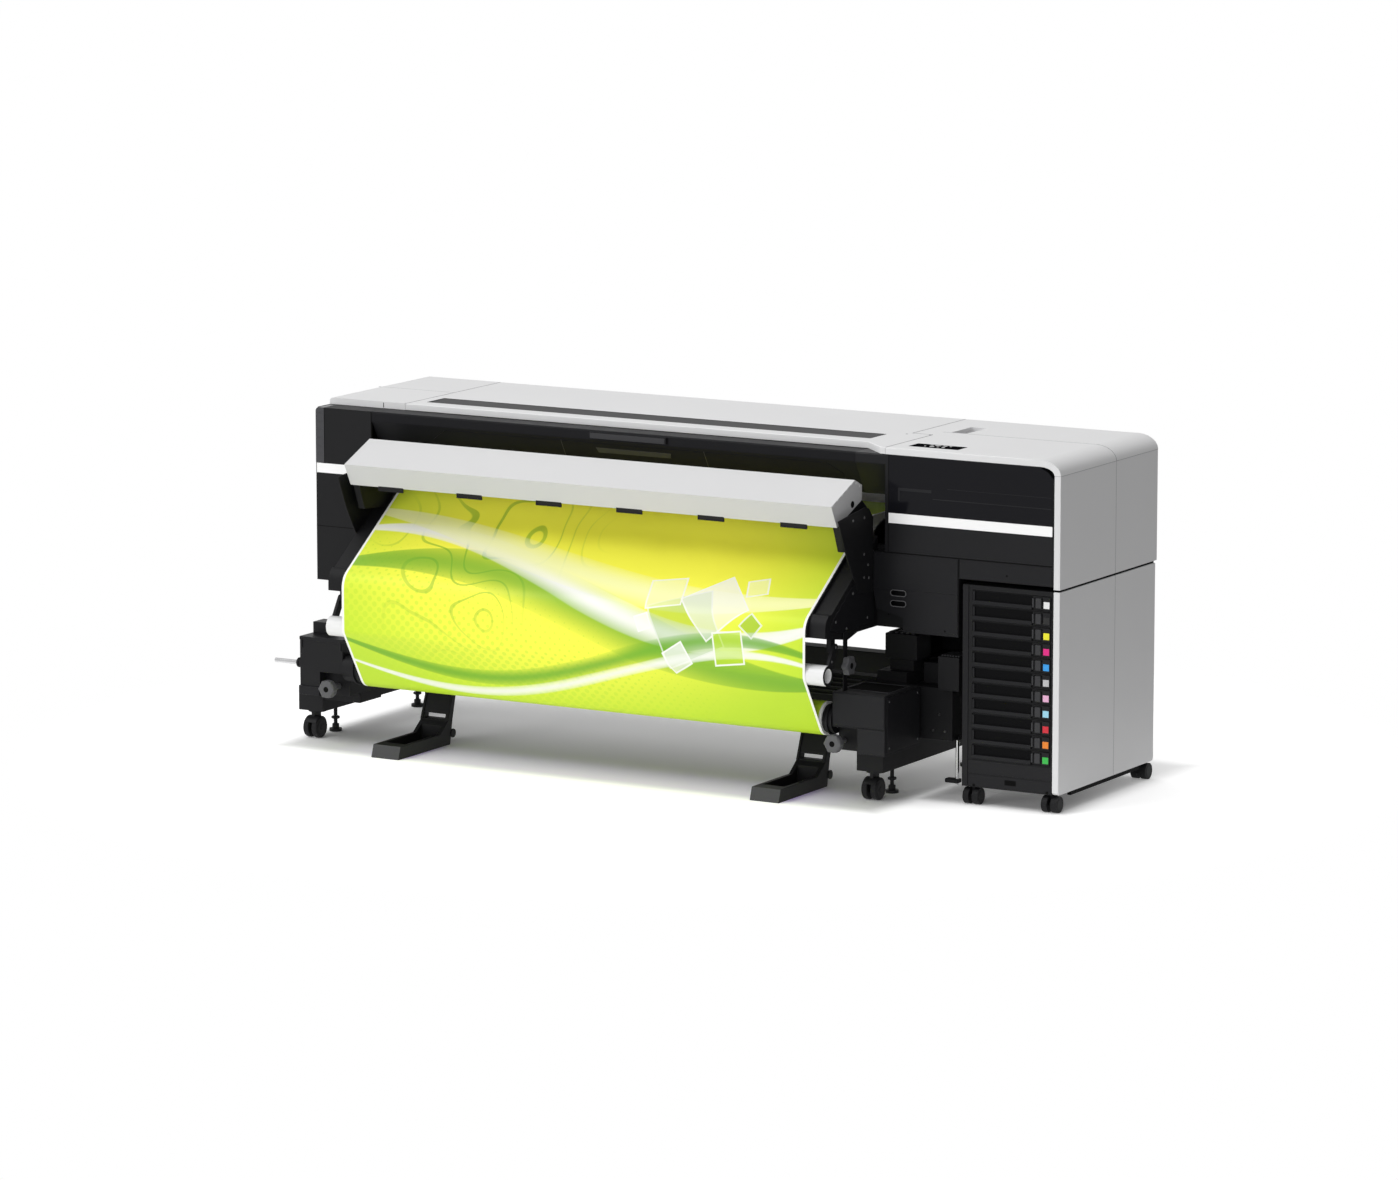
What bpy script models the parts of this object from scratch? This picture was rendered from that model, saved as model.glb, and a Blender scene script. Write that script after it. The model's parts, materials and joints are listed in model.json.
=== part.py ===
"""Roll-to-roll sign printer with take-up unit, dryer hood and ink cabinet.

Lengths are metres. X runs to the right from the left end of the body, Y runs to the back
from the front plane of the end modules, and Z runs up from the floor. One empty carries
every piece and centres the whole machine over the origin.
"""

import bmesh
import bpy
from math import atan2
from math import ceil
from math import cos
from math import hypot
from math import pi
from math import sin
from math import tan
from mathutils import Matrix

# Fits and sheet gauges
SEAT = 0.0003
RUNNING_GAP = 0.0005
SKIN = 0.004
PLATE = 0.006
EMBED = 0.002

# Body
BODY_DEPTH = 0.645
BODY_TOP = 1.0515
LIP_HEIGHT = 0.0205
SET_BACK = 0.080
LEFT_MODULE_WIDTH = 0.206
LEFT_MODULE_HEIGHT = 0.544
RIGHT_MODULE_WIDTH = 0.5883
LEFT_COVER_WIDTH = 0.280
COVER_OVERHANG = 0.0043
SHELL_EDGE = 0.0215
CORNER_RUN = 0.068
CORNER_DROP = 0.0445
COVER_TONGUE = 0.069
TONGUE_FROM = 0.300
SIDE_PANEL_HEIGHT = 0.338
REAR_INLET_GAP = 0.0385

# Frame inside the body
PAN_RISE = 0.018
PAN_THICKNESS = 0.040
FRONT_BEAM_SETBACK = 0.035
FRONT_BEAM_DEPTH = 0.030
FRONT_BEAM_DROP = 0.0735
REAR_WALL_DEPTH = 0.040
REAR_WALL_DROP = 0.0285
GUIDE_RADIUS = 0.035
GUIDE_INSET = 0.015
END_PLATE_GAP = 0.047
END_PLATE = 0.030
END_PLATE_FRONT = 0.110
RIGHT_PLATE_RISE = 0.0065
SHELF_THICKNESS = 0.028
SHELF_OVERLAP = 0.039
SHELF_RISER = 0.022
BULKHEAD = 0.020
BULKHEAD_INSET = 0.050
TOP_RAIL_DEPTH = 0.030
TOP_RAIL_HEIGHT = 0.025

# Media and its path, as the outer face of the web runs
MEDIA_LEFT = 0.287
MEDIA_WIDTH = 1.626
RIGHT_MARGIN = 0.0987
WEB_GAUGE = 0.0008
PLATEN_DROP = 0.228
SLOPE_ANGLE = 0.609
SHOULDER_RADIUS = 0.150
SHOULDER_Y = 0.0791
KNEE_Y = -0.302
KNEE_RADIUS = 0.060
DANCER_DROP = 0.078
DANCER_RADIUS = 0.031
TAKE_UP_Y = -0.155
TAKE_UP_Z = 0.250
TAKE_UP_RADIUS = 0.050
SUPPLY_Y = 0.790
SUPPLY_RISE = 0.075
SUPPLY_RADIUS = 0.070
CORE_BORE = 0.0255

# Platen, feed roller, heater
PLATEN_BACK = 0.385
FEED_ROLLER_RADIUS = 0.018
FEED_ROLLER_Y = 0.415
HEATER_SHEET = 0.010
HEATER_OVERHANG = 0.060
HEATER_CAP = 0.058
CAP_SET = 0.028
CAP_HEEL = 0.060
CAP_DROP = 0.012
NOSE_DROP = 0.3085
KEEL_RUN = 0.154
KEEL_DROP = 0.025

# Dancer bar
PIVOT_RUN = 0.080
PIVOT_DROP = 0.037
ARM_WIDTH = 0.024
ARM_GAUGE = 0.010
PIVOT_PIN_RADIUS = 0.005
PIVOT_EAR = 0.014
DANCER_BORE = 0.022

# Dryer hood
HOOD_OVERHANG = 0.041
HOOD_BASE_RISE = 0.0055
HOOD_FRONT_Y = -0.2185
HOOD_FRONT_RISE = 0.0675
HOOD_RIDGE_Y = -0.0733
HOOD_RIDGE_RISE = 0.129
HOOD_BACK_Y = -0.030
HOOD_BACK_RISE = 0.1083
HOOD_UNDER_RISE = 0.0636
HOOD_LIP_Y = -0.183
HOOD_SHEET = 0.003
HOOD_HOLE_RADIUS = 0.0105
HOOD_HOLE_Y = -0.088
HOOD_HOLE_RISE = 0.0576
TAB_COUNT = 6
TAB_WIDTH = 0.090
TAB_PITCH = 0.283
TAB_DROP = 0.012
HOOD_ARM_GAUGE = 0.022
HOOD_ARM_BACK = 0.022
ARM_TOE_RUN = 0.045
ARM_TOE_DROP = 0.080
ARM_HEEL_RUN = 0.042

# Front cover
COVER_BAND = 0.030
COVER_FOOT_Y = 0.060
COVER_DROP = 0.131
COVER_FOLD = 0.006
POST_GAP = 0.002
POST_DIAGONAL = 0.085
COVER_HINGE_Y = 0.074
HANDLE_WIDTH = 0.271
HANDLE_OFFSET = 0.0315
HANDLE_HEIGHT = 0.020
HANDLE_REACH = 0.008

# Top details
WINDOW_START = 0.033
WINDOW_END = 0.023
WINDOW_Y = 0.140
WINDOW_DEPTH = 0.103
WINDOW_FLANGE = 0.006
SCREEN_OFFSET = 0.047
SCREEN_WIDTH = 0.166
SCREEN_Y = 0.056
SCREEN_DEPTH = 0.064
SCREEN_THICKNESS = 0.0017
GRIP_OFFSET = 0.027
GRIP_WIDTH = 0.052
GRIP_Y = 0.370
GRIP_LENGTH = 0.130
GRIP_SINK = 0.012

# Right front panel
PANEL_STEP_DROP = 0.3145
PANEL_STEP = 0.0394
PANEL_BOTTOM_DROP = 0.237
PANEL_CABINET_GAP = 0.015
PANEL_SMALL_RISE = 0.0083
PANEL_NOTCH_WIDTH = 0.0663
PANEL_NOTCH_HEIGHT = 0.043
PANEL_JOG_HEIGHT = 0.125
PANEL_JOG_DROP = 0.060
PANEL_JOG_WIDTH = 0.012
PANEL_CORNER_INSET = 0.012
SLOT_OFFSET = 0.0258
SLOT_WIDTH = 0.050
SLOT_HEIGHT = 0.0155
SLOT_DROP = 0.1285
SLOT_PITCH = 0.0315

# Print carriage
RAIL_Y = 0.400
RAIL_DEPTH = 0.060
RAIL_RISE = 0.035
RAIL_HEIGHT = 0.060
CARRIAGE_WIDTH = 0.220
CARRIAGE_FRONT = 0.170
CARRIAGE_BACK = 0.530
CARRIAGE_GAP = 0.0215
CARRIAGE_HEIGHT = 0.140
CARRIAGE_PARK = 0.030

# Stand
LEG_CENTRE_LEFT = 0.034
LEG_OFFSET = 0.0083
LEG_WIDTH = 0.090
LEG_FRONT = -0.095
LEG_BACK = 0.680
LEG_BOTTOM = 0.087
LEG_TOP = 0.157
COLUMN_WIDTH = 0.046
COLUMN_FRONT = 0.200
COLUMN_BACK = 0.520
SHOE_HEIGHT = 0.030
TOWER_WIDTH = 0.100
TOWER_FRONT = 0.040
TOWER_BACK = 0.430
TOWER_TOP = 0.370
BEAM_Y = 0.440
BEAM_DEPTH = 0.060
BEAM_Z = 0.270
BEAM_HEIGHT = 0.071

# Take-up unit
LEFT_BLOCK_GAP = 0.072
LEFT_BLOCK_WIDTH = 0.157
RIGHT_BLOCK_GAP = 0.031
RIGHT_BLOCK_WIDTH = 0.177
BLOCK_FRONT = -0.190
BLOCK_BACK = 0.030
BLOCK_HEIGHT = 0.182
BLOCK_NOTCH_WIDTH = 0.084
BLOCK_NOTCH_HEIGHT = 0.076
BLOCK_NOTCH_DEPTH = 0.040
STUB_RADIUS = 0.025
STUB_LENGTH = 0.100
HUB_RADIUS = 0.043
SHAFT_RADIUS = 0.007
SHAFT_REACH = 0.114
COLLAR_RADIUS = 0.013
COLLAR_LENGTH = 0.030
KNOB_RADIUS = 0.0275
KNOB_DEPTH = 0.022
KNOB_REACH = 0.035
KNOB_STEM = 0.009
LEFT_KNOB_INSET = 0.0395
RIGHT_KNOB_INSET = 0.0185
KNOB_EDGE = 0.004
KNOB_RISE = 0.030

# Casters and levelling feet
WHEEL_RADIUS = 0.033
CASTER_WIDTH = 0.050
CASTER_SLOT = 0.012
CASTER_TRAIL = 0.014
AXLE_RADIUS = 0.006
FORK_REACH = 0.012
PLATE_RADIUS = 0.028
PLATE_HEIGHT = 0.006
FRONT_CASTER_Y = -0.058
REAR_CASTER_Y = 0.625
FOOT_PAD_RADIUS = 0.020
FOOT_PAD_HEIGHT = 0.010
FOOT_NUT_RADIUS = 0.011
FOOT_NUT_HEIGHT = 0.014
FOOT_STEM_RADIUS = 0.006
FRONT_FOOT_Y = 0.045
REAR_FOOT_Y = 0.525

# Ink cabinet
CABINET_WIDTH = 0.321
CABINET_BOTTOM = 0.055
CABINET_GAP = 0.0067
CABINET_BACK = 0.635
TRAY_COUNT = 11
TRAY_GAP = 0.0044
TRAY_WIDTH = 0.259
TRAY_INSET = 0.0335
TRAY_FRONT = 0.002
TRAY_LENGTH = 0.560
TRAY_DROP = 0.015
CABINET_APRON = 0.0816
TRAY_WALL = 0.003
TRAY_POCKET = 0.014
TRAY_FLOAT = 0.001
GRIP_LIP_WIDTH = 0.033
GRIP_LIP_INSET = 0.028
GRIP_LIP_REACH = 0.006
GRIP_LIP_HEIGHT = 0.024
DUCT_WIDTH = 0.120
DUCT_Y = 0.400
DUCT_INSET = 0.050
CABINET_WHEEL_RADIUS = 0.025
CABINET_CASTER_WIDTH = 0.050
CABINET_CASTER_INSET = 0.030
CABINET_CASTER_SLOT = 0.012
CABINET_CASTER_TRAIL = 0.010

# Roll rests that stand on the floor
REST_WIDTH = 0.100
REST_LEFT_INSET = 0.081
REST_RIGHT_INSET = 0.206
REST_FRONT = -0.270
REST_TIP_HEIGHT = 0.040
REST_BACK = 0.030
REST_HEIGHT = 0.190
REST_LEAN = 0.030
REST_WALL = 0.014
REST_FLOOR = 0.010
REST_ELBOW = 0.060
REST_ELBOW_Z = 0.075
REST_SLOT_WIDTH = 0.075
REST_SLOT_HEIGHT = 0.015
REST_SLOT_Z = 0.088

# Values that follow from the sizes above
MEDIA_RIGHT = MEDIA_LEFT + MEDIA_WIDTH
RIGHT_MODULE_X = MEDIA_RIGHT + RIGHT_MARGIN
BODY_WIDTH = RIGHT_MODULE_X + RIGHT_MODULE_WIDTH
RIGHT_COVER_X = RIGHT_MODULE_X + COVER_OVERHANG
POST_X = MEDIA_RIGHT + POST_GAP
LIP_Z = BODY_TOP - LIP_HEIGHT
LEFT_BOTTOM = LIP_Z - LEFT_MODULE_HEIGHT
PAN_BOTTOM = LEFT_BOTTOM + PAN_RISE
PLATEN_TOP = BODY_TOP - PLATEN_DROP
UNDER_SKIN = BODY_TOP - SKIN
COVER_TOP = LIP_Z - SEAT
SIDE_SEAM_Z = BODY_TOP - CORNER_DROP
SIDE_PANEL_BOTTOM = SIDE_SEAM_Z - SEAT - SIDE_PANEL_HEIGHT
INNER_RIGHT_X = BODY_WIDTH - SHELL_EDGE
PAN_TOP = PAN_BOTTOM + PAN_THICKNESS
FRAME_BACK = BODY_DEPTH - SKIN - SEAT
SHELF_BOTTOM = SIDE_PANEL_BOTTOM + SKIN
LEFT_PLATE_INNER = MEDIA_LEFT - END_PLATE_GAP
RIGHT_PLATE_X = MEDIA_RIGHT + END_PLATE_GAP
BULKHEAD_X = BODY_WIDTH - BULKHEAD_INSET - BULKHEAD
WEB_REST = WEB_GAUGE + SEAT
KNEE_Z = PLATEN_TOP - (SHOULDER_Y - KNEE_Y) * tan(SLOPE_ANGLE)
HEATER_LEFT = MEDIA_LEFT - HEATER_OVERHANG
HEATER_RIGHT = MEDIA_RIGHT + HEATER_OVERHANG
HEATER_BACK = FRONT_BEAM_SETBACK - SEAT
NOSE_BOTTOM = PLATEN_TOP - NOSE_DROP
KEEL_Y = KNEE_Y + KEEL_RUN
KEEL_Z = NOSE_BOTTOM - KEEL_DROP
HOOD_LEFT = MEDIA_LEFT - HOOD_OVERHANG
HOOD_RIGHT = MEDIA_RIGHT + HOOD_OVERHANG
HOOD_BASE_Z = PLATEN_TOP + HOOD_BASE_RISE
DANCER_Y = KNEE_Y + WEB_REST + DANCER_RADIUS
PIVOT_Y = KNEE_Y + PIVOT_RUN
PIVOT_Z = NOSE_BOTTOM - PIVOT_DROP
DANCER_Z = PIVOT_Z - DANCER_DROP
SUPPLY_Z = PAN_BOTTOM + SUPPLY_RISE
GUIDE_Y = FRAME_BACK - GUIDE_INSET
GUIDE_Z = PLATEN_TOP - WEB_REST - GUIDE_RADIUS
FEED_ROLLER_Z = PLATEN_TOP - WEB_REST - FEED_ROLLER_RADIUS
CARRIAGE_BOTTOM = PLATEN_TOP + CARRIAGE_GAP
RAIL_Z = CARRIAGE_BOTTOM + RAIL_RISE
CABINET_LEFT = BODY_WIDTH - CABINET_WIDTH
CABINET_TOP = SIDE_PANEL_BOTTOM - CABINET_GAP
TRAY_PITCH = (CABINET_TOP - CABINET_BOTTOM - TRAY_DROP - CABINET_APRON) / TRAY_COUNT
TRAY_HEIGHT = TRAY_PITCH - TRAY_GAP
PANEL_STEP_Z = BODY_TOP - PANEL_STEP_DROP
PANEL_BOTTOM = PANEL_STEP_Z - PANEL_BOTTOM_DROP
SLOT_TOP = PANEL_STEP_Z - SLOT_DROP
SLOT_LOW = SLOT_TOP - SLOT_PITCH
SHELF_START = CABINET_LEFT - SHELF_OVERLAP
LEG_CENTRE_RIGHT = RIGHT_MODULE_X + LEG_OFFSET
LEFT_BLOCK_RIGHT = MEDIA_LEFT - LEFT_BLOCK_GAP
LEFT_BLOCK_X = LEFT_BLOCK_RIGHT - LEFT_BLOCK_WIDTH
RIGHT_BLOCK_X = MEDIA_RIGHT + RIGHT_BLOCK_GAP
BLOCK_BOTTOM = LEG_TOP + SEAT
SHAFT_TIP_X = LEFT_BLOCK_X - SHAFT_REACH
CENTRE_X = (SHAFT_TIP_X + BODY_WIDTH) / 2
CENTRE_Y = (KNEE_Y + SUPPLY_Y + SUPPLY_RADIUS + WEB_REST) / 2
ROUND_STEPS = 24
ARC_STEPS = 6
FLAT_ANGLE = 0.01
WRAP_STEP = pi / 36


def start_scene():
    """Empty the scene and make the two collections and the empty that carries the parts."""
    for old in list(bpy.data.objects):
        bpy.data.objects.remove(old, do_unlink=True)
    for name in ("sign_printer", "sign_printer_cutters"):
        bpy.context.scene.collection.children.link(bpy.data.collections.new(name))
    root = bpy.data.objects.new("printer_origin", None)
    root.location = (-CENTRE_X, -CENTRE_Y, 0.0)
    bpy.data.collections["sign_printer"].objects.link(root)
    return root


def finish(name, colour, roughness, metallic=0.0):
    """Return a Principled material."""
    made = bpy.data.materials.new(name)
    made.use_nodes = True
    shader = made.node_tree.nodes["Principled BSDF"]
    shader.inputs["Base Color"].default_value = (*colour, 1.0)
    shader.inputs["Roughness"].default_value = roughness
    shader.inputs["Metallic"].default_value = metallic
    return made


ROOT = start_scene()
WHITE = (0.78, 0.78, 0.79)
BLACK = (0.022, 0.022, 0.024)
GREY = (0.11, 0.11, 0.115)
STEEL = (0.62, 0.62, 0.63)
VINYL = (0.80, 0.86, 0.10)


def as_object(mesh, name, collection):
    """Link a mesh as an object under the root empty."""
    made = bpy.data.objects.new(name, mesh)
    bpy.data.collections[collection].objects.link(made)
    made.parent = ROOT
    return made


def part(mesh, name, colour, roughness, metallic=0.0, pivot=None):
    """Make a mesh one named piece of the machine, with its origin on its joint if it has one."""
    made = as_object(mesh, name, "sign_printer")
    made.data.materials.append(finish(name + "_finish", colour, roughness, metallic))
    if pivot is not None:
        mesh.transform(Matrix.Translation((-pivot[0], -pivot[1], -pivot[2])))
        made.location = pivot
    return made


def tool(mesh, name):
    """Make a mesh a hidden shape that a Boolean reads."""
    made = as_object(mesh, name, "sign_printer_cutters")
    made.hide_render = True
    made.display_type = "WIRE"
    return made


def change(piece, meshes, operation):
    """Add each mesh to a piece, or cut it away."""
    for mesh in meshes:
        label = f"{operation.lower()}_{len(piece.modifiers)}"
        made = piece.modifiers.new(label, "BOOLEAN")
        made.operation = operation
        made.solver = "EXACT"
        made.object = tool(mesh, f"{piece.name}_{label}")


def settled(piece):
    """Return the mesh of a piece as its modifiers leave it."""
    bpy.context.view_layer.update()
    graph = bpy.context.evaluated_depsgraph_get()
    return bpy.data.meshes.new_from_object(piece.evaluated_get(graph))


def from_bmesh(shape):
    """Turn a bmesh into a mesh."""
    mesh = bpy.data.meshes.new("shape")
    shape.to_mesh(mesh)
    shape.free()
    return mesh


def box(x, y, z):
    """A block between two values on each axis."""
    middle = Matrix.Translation([(low + high) / 2 for low, high in (x, y, z)])
    spread = Matrix.Diagonal([high - low for low, high in (x, y, z)] + [1.0])
    shape = bmesh.new()
    bmesh.ops.create_cube(shape, size=1.0, matrix=middle @ spread)
    return from_bmesh(shape)


TURN = {
    "X": Matrix.Rotation(pi / 2, 4, "Y"),
    "Y": Matrix.Rotation(-pi / 2, 4, "X"),
    "Z": Matrix.Identity(4),
}


def rod(axis, centre, low, high, radius):
    """A round bar along an axis, from low to high; centre gives its other two coordinates."""
    place = {
        "X": ((low + high) / 2, centre[0], centre[1]),
        "Y": (centre[0], (low + high) / 2, centre[1]),
        "Z": (centre[0], centre[1], (low + high) / 2),
    }[axis]
    shape = bmesh.new()
    bmesh.ops.create_cone(
        shape, cap_ends=True, segments=ROUND_STEPS, radius1=radius, radius2=radius,
        depth=high - low, matrix=Matrix.Translation(place) @ TURN[axis])
    return from_bmesh(shape)


def turned(axis, centre, profile, closed=False):
    """Spin a profile of (radius, place along the axis) points, listed from high to low."""
    origin = {"X": (0.0, *centre), "Y": (centre[0], 0.0, centre[1]), "Z": (*centre, 0.0)}[axis]
    mesh = bpy.data.meshes.new("profile")
    points = [(radius, 0.0, along) for radius, along in profile]
    links = [(i, i + 1) for i in range(len(points) - 1)]
    if closed:
        links.append((len(points) - 1, 0))
    mesh.from_pydata(points, links, [])
    spinner = bpy.data.objects.new("spinner", mesh)
    bpy.context.scene.collection.objects.link(spinner)
    screw = spinner.modifiers.new("spin", "SCREW")
    screw.steps = ROUND_STEPS
    screw.render_steps = ROUND_STEPS
    screw.use_merge_vertices = True
    screw.merge_threshold = 0.00001
    made = settled(spinner)
    bpy.data.objects.remove(spinner)
    shape = bmesh.new()
    shape.from_mesh(made)
    bmesh.ops.remove_doubles(shape, verts=shape.verts, dist=0.00001)
    bmesh.ops.recalc_face_normals(shape, faces=shape.faces)
    bmesh.ops.transform(shape, matrix=Matrix.Translation(origin) @ TURN[axis], verts=shape.verts)
    return from_bmesh(shape)


FLAT = {
    "X": Matrix.Rotation(pi / 2, 4, "Z") @ Matrix.Rotation(pi / 2, 4, "X"),
    "Y": Matrix.Rotation(pi / 2, 4, "X"),
    "Z": Matrix.Identity(4),
}


def prism(axis, outline, low, high):
    """Push a flat outline along an axis. Outlines are (Y, Z), (X, Z) or (X, Y) points."""
    curve = bpy.data.curves.new("outline", "CURVE")
    curve.dimensions = "2D"
    curve.fill_mode = "BOTH"
    curve.extrude = (high - low) / 2
    spline = curve.splines.new("POLY")
    spline.points.add(len(outline) - 1)
    for point, (across, up) in zip(spline.points, outline):
        point.co = (across, up, 0.0, 1.0)
    spline.use_cyclic_u = True
    shaper = bpy.data.objects.new("shaper", curve)
    bpy.context.scene.collection.objects.link(shaper)
    made = settled(shaper)
    bpy.data.objects.remove(shaper)
    shift = (high + low) / 2
    offset = {"X": (shift, 0.0, 0.0), "Y": (0.0, shift, 0.0), "Z": (0.0, 0.0, shift)}[axis]
    shape = bmesh.new()
    shape.from_mesh(made)
    bmesh.ops.remove_doubles(shape, verts=shape.verts, dist=0.00001)
    bmesh.ops.recalc_face_normals(shape, faces=shape.faces)
    bmesh.ops.transform(shape, matrix=Matrix.Translation(offset) @ FLAT[axis], verts=shape.verts)
    return from_bmesh(shape)


def rounded(corners):
    """Turn (a, b, radius) corners of a path into points, with an arc at each radius above 0."""
    points = []
    for i, (a, b, radius) in enumerate(corners):
        if radius <= 0.0:
            points.append((a, b))
            continue
        before = corners[i - 1]
        after = corners[(i + 1) % len(corners)]
        turn_in = atan2(b - before[1], a - before[0])
        turn_out = atan2(after[1] - b, after[0] - a)
        swing = (turn_out - turn_in + pi) % (2 * pi) - pi
        reach = radius * tan(abs(swing) / 2)
        side = 1 if swing > 0 else -1
        start = (a - reach * cos(turn_in), b - reach * sin(turn_in))
        hub = (start[0] - side * radius * sin(turn_in), start[1] + side * radius * cos(turn_in))
        for step in range(ARC_STEPS + 1):
            angle = turn_in + swing * step / ARC_STEPS
            points.append((hub[0] + side * radius * sin(angle), hub[1] - side * radius * cos(angle)))
    return points


def sideways(path, gap):
    """Move a path to its left by a gap, with mitred corners."""
    moved = []
    for i, (a, b) in enumerate(path):
        before = path[max(i - 1, 0)]
        after = path[min(i + 1, len(path) - 1)]
        normals = []
        for p, q in ((before, (a, b)), ((a, b), after)):
            length = hypot(q[0] - p[0], q[1] - p[1])
            if length > 0.0:
                normals.append((-(q[1] - p[1]) / length, (q[0] - p[0]) / length))
        first, last = normals[0], normals[-1]
        scale = gap / (1 + first[0] * last[0] + first[1] * last[1])
        moved.append((a + scale * (first[0] + last[0]), b + scale * (first[1] + last[1])))
    return moved


def bent_sheet(path, gauge):
    """The outline of a bent sheet that lies to the left of a path."""
    return path + sideways(path, gauge)[::-1]


def shell(axis, outline, face, edge, gauge):
    """A tray: a flat face with an edge that runs from face to edge along the axis."""
    flat = prism(axis, outline, min(face, edge), max(face, edge))
    index = "XYZ".index(axis)
    shape = bmesh.new()
    shape.from_mesh(flat)
    open_side = [f for f in shape.faces if all(abs(v.co[index] - edge) < 0.00001 for v in f.verts)]
    bmesh.ops.delete(shape, geom=open_side, context="FACES_ONLY")
    bmesh.ops.dissolve_limit(shape, angle_limit=FLAT_ANGLE, verts=shape.verts, edges=shape.edges)
    mesh = from_bmesh(shape)
    thick = bpy.data.objects.new("thick", mesh)
    bpy.context.scene.collection.objects.link(thick)
    wall = thick.modifiers.new("wall", "SOLIDIFY")
    wall.thickness = gauge
    wall.offset = -1.0
    wall.solidify_mode = "NON_MANIFOLD"
    wall.nonmanifold_thickness_mode = "CONSTRAINTS"
    made = settled(thick)
    bpy.data.objects.remove(thick)
    return made


def slope_z(y, gap=0.0):
    """Height of the straight slope of the web's outer face, or of a line a gap below it."""
    return PLATEN_TOP - (SHOULDER_Y - y) * tan(SLOPE_ANGLE) - gap / cos(SLOPE_ANGLE)


def arc(centre, radius, start, end):
    """Points on a round path between two angles."""
    count = ceil(abs(end - start) / WRAP_STEP)
    turns = [start + (end - start) * i / count for i in range(count + 1)]
    return [(centre[0] + radius * cos(a), centre[1] + radius * sin(a)) for a in turns]


def tangent_angle(first, first_radius, second, second_radius, side):
    """Angle at which one straight line touches two circles on their left (1) or right (-1)."""
    run = (second[0] - first[0], second[1] - first[1])
    reach = hypot(*run)
    swing = pi / 2 - (first_radius - second_radius) / reach
    return atan2(run[1], run[0]) + side * swing


def web_path():
    """The outer face of the web from the supply roll over the platen to the take-up roll."""
    supply = (SUPPLY_Y, SUPPLY_Z)
    guide = (GUIDE_Y, GUIDE_Z)
    dancer = (DANCER_Y, DANCER_Z)
    take_up = (TAKE_UP_Y, TAKE_UP_Z)
    supply_reach = SUPPLY_RADIUS + WEB_REST
    guide_reach = GUIDE_RADIUS + WEB_REST
    dancer_reach = DANCER_RADIUS + WEB_REST
    take_up_reach = TAKE_UP_RADIUS + WEB_REST
    leave = tangent_angle(guide, guide_reach, supply, supply_reach, 1)
    land = tangent_angle(dancer, dancer_reach, take_up, take_up_reach, -1) + 2 * pi
    path = arc(supply, supply_reach, -pi / 6, leave)
    path += arc(guide, guide_reach, leave, pi / 2)
    path += rounded([
        (GUIDE_Y, PLATEN_TOP, 0.0),
        (SHOULDER_Y, PLATEN_TOP, SHOULDER_RADIUS),
        (KNEE_Y, KNEE_Z, KNEE_RADIUS),
        (KNEE_Y, DANCER_Z, 0.0),
    ])[1:-1]
    path += arc(dancer, dancer_reach, pi, land)
    path += arc(take_up, take_up_reach, land, land + pi / 2)
    return path


def media_web():
    part(prism("X", bent_sheet(web_path(), WEB_GAUGE), MEDIA_LEFT, MEDIA_RIGHT), "media_web", VINYL, 0.35)


def base_frame():
    """Pan, beams, end plates, cabinet shelf and the arms that hold the supply roll."""
    wall = FRAME_BACK - REAR_WALL_DEPTH
    pan_right = SHELF_START + SHELF_RISER
    frame_left = LEFT_PLATE_INNER - END_PLATE
    bulkhead_right = BULKHEAD_X + BULKHEAD
    section = [
        (FRONT_BEAM_SETBACK, PAN_BOTTOM), (FRAME_BACK, PAN_BOTTOM),
        (FRAME_BACK, PLATEN_TOP - REAR_WALL_DROP), (wall, PLATEN_TOP - REAR_WALL_DROP),
        (wall, PAN_TOP), (FRONT_BEAM_SETBACK + FRONT_BEAM_DEPTH, PAN_TOP),
        (FRONT_BEAM_SETBACK + FRONT_BEAM_DEPTH, PLATEN_TOP - FRONT_BEAM_DROP),
        (FRONT_BEAM_SETBACK, PLATEN_TOP - FRONT_BEAM_DROP),
    ]
    frame = part(prism("X", section, PLATE + SEAT, pan_right), "base_frame", BLACK, 0.55)
    deep = (END_PLATE_FRONT, wall + EMBED)
    top_rail = (wall - TOP_RAIL_DEPTH, wall)
    added = [
        box((frame_left, LEFT_PLATE_INNER), deep, (PAN_TOP - EMBED, UNDER_SKIN - SEAT)),
        box((RIGHT_PLATE_X, RIGHT_PLATE_X + END_PLATE), deep,
            (PAN_TOP - EMBED, PLATEN_TOP + RIGHT_PLATE_RISE)),
        box((SHELF_START, INNER_RIGHT_X - SEAT), (END_PLATE_FRONT, FRAME_BACK - EMBED),
            (SHELF_BOTTOM, SHELF_BOTTOM + SHELF_THICKNESS)),
        box((BULKHEAD_X, bulkhead_right), deep, (SHELF_BOTTOM + EMBED, COVER_TOP - EMBED)),
        box((frame_left + EMBED, bulkhead_right - EMBED), top_rail,
            (COVER_TOP - TOP_RAIL_HEIGHT, COVER_TOP)),
        rod("X", (GUIDE_Y, GUIDE_Z), LEFT_PLATE_INNER + SEAT, RIGHT_PLATE_X - SEAT, GUIDE_RADIUS),
    ]
    for inner, outward in ((MEDIA_LEFT - RUNNING_GAP, -1), (MEDIA_RIGHT + RUNNING_GAP, 1)):
        ends = sorted((inner, inner + outward * END_PLATE))
        added.append(box(ends, (FRAME_BACK - EMBED, SUPPLY_Y + STUB_RADIUS),
                         (SUPPLY_Z - STUB_RADIUS, SUPPLY_Z + STUB_RADIUS)))
        stub = sorted((inner + outward * EMBED, inner - outward * STUB_LENGTH))
        added.append(rod("X", (SUPPLY_Y, SUPPLY_Z), *stub, STUB_RADIUS))
    change(frame, added, "UNION")


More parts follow.
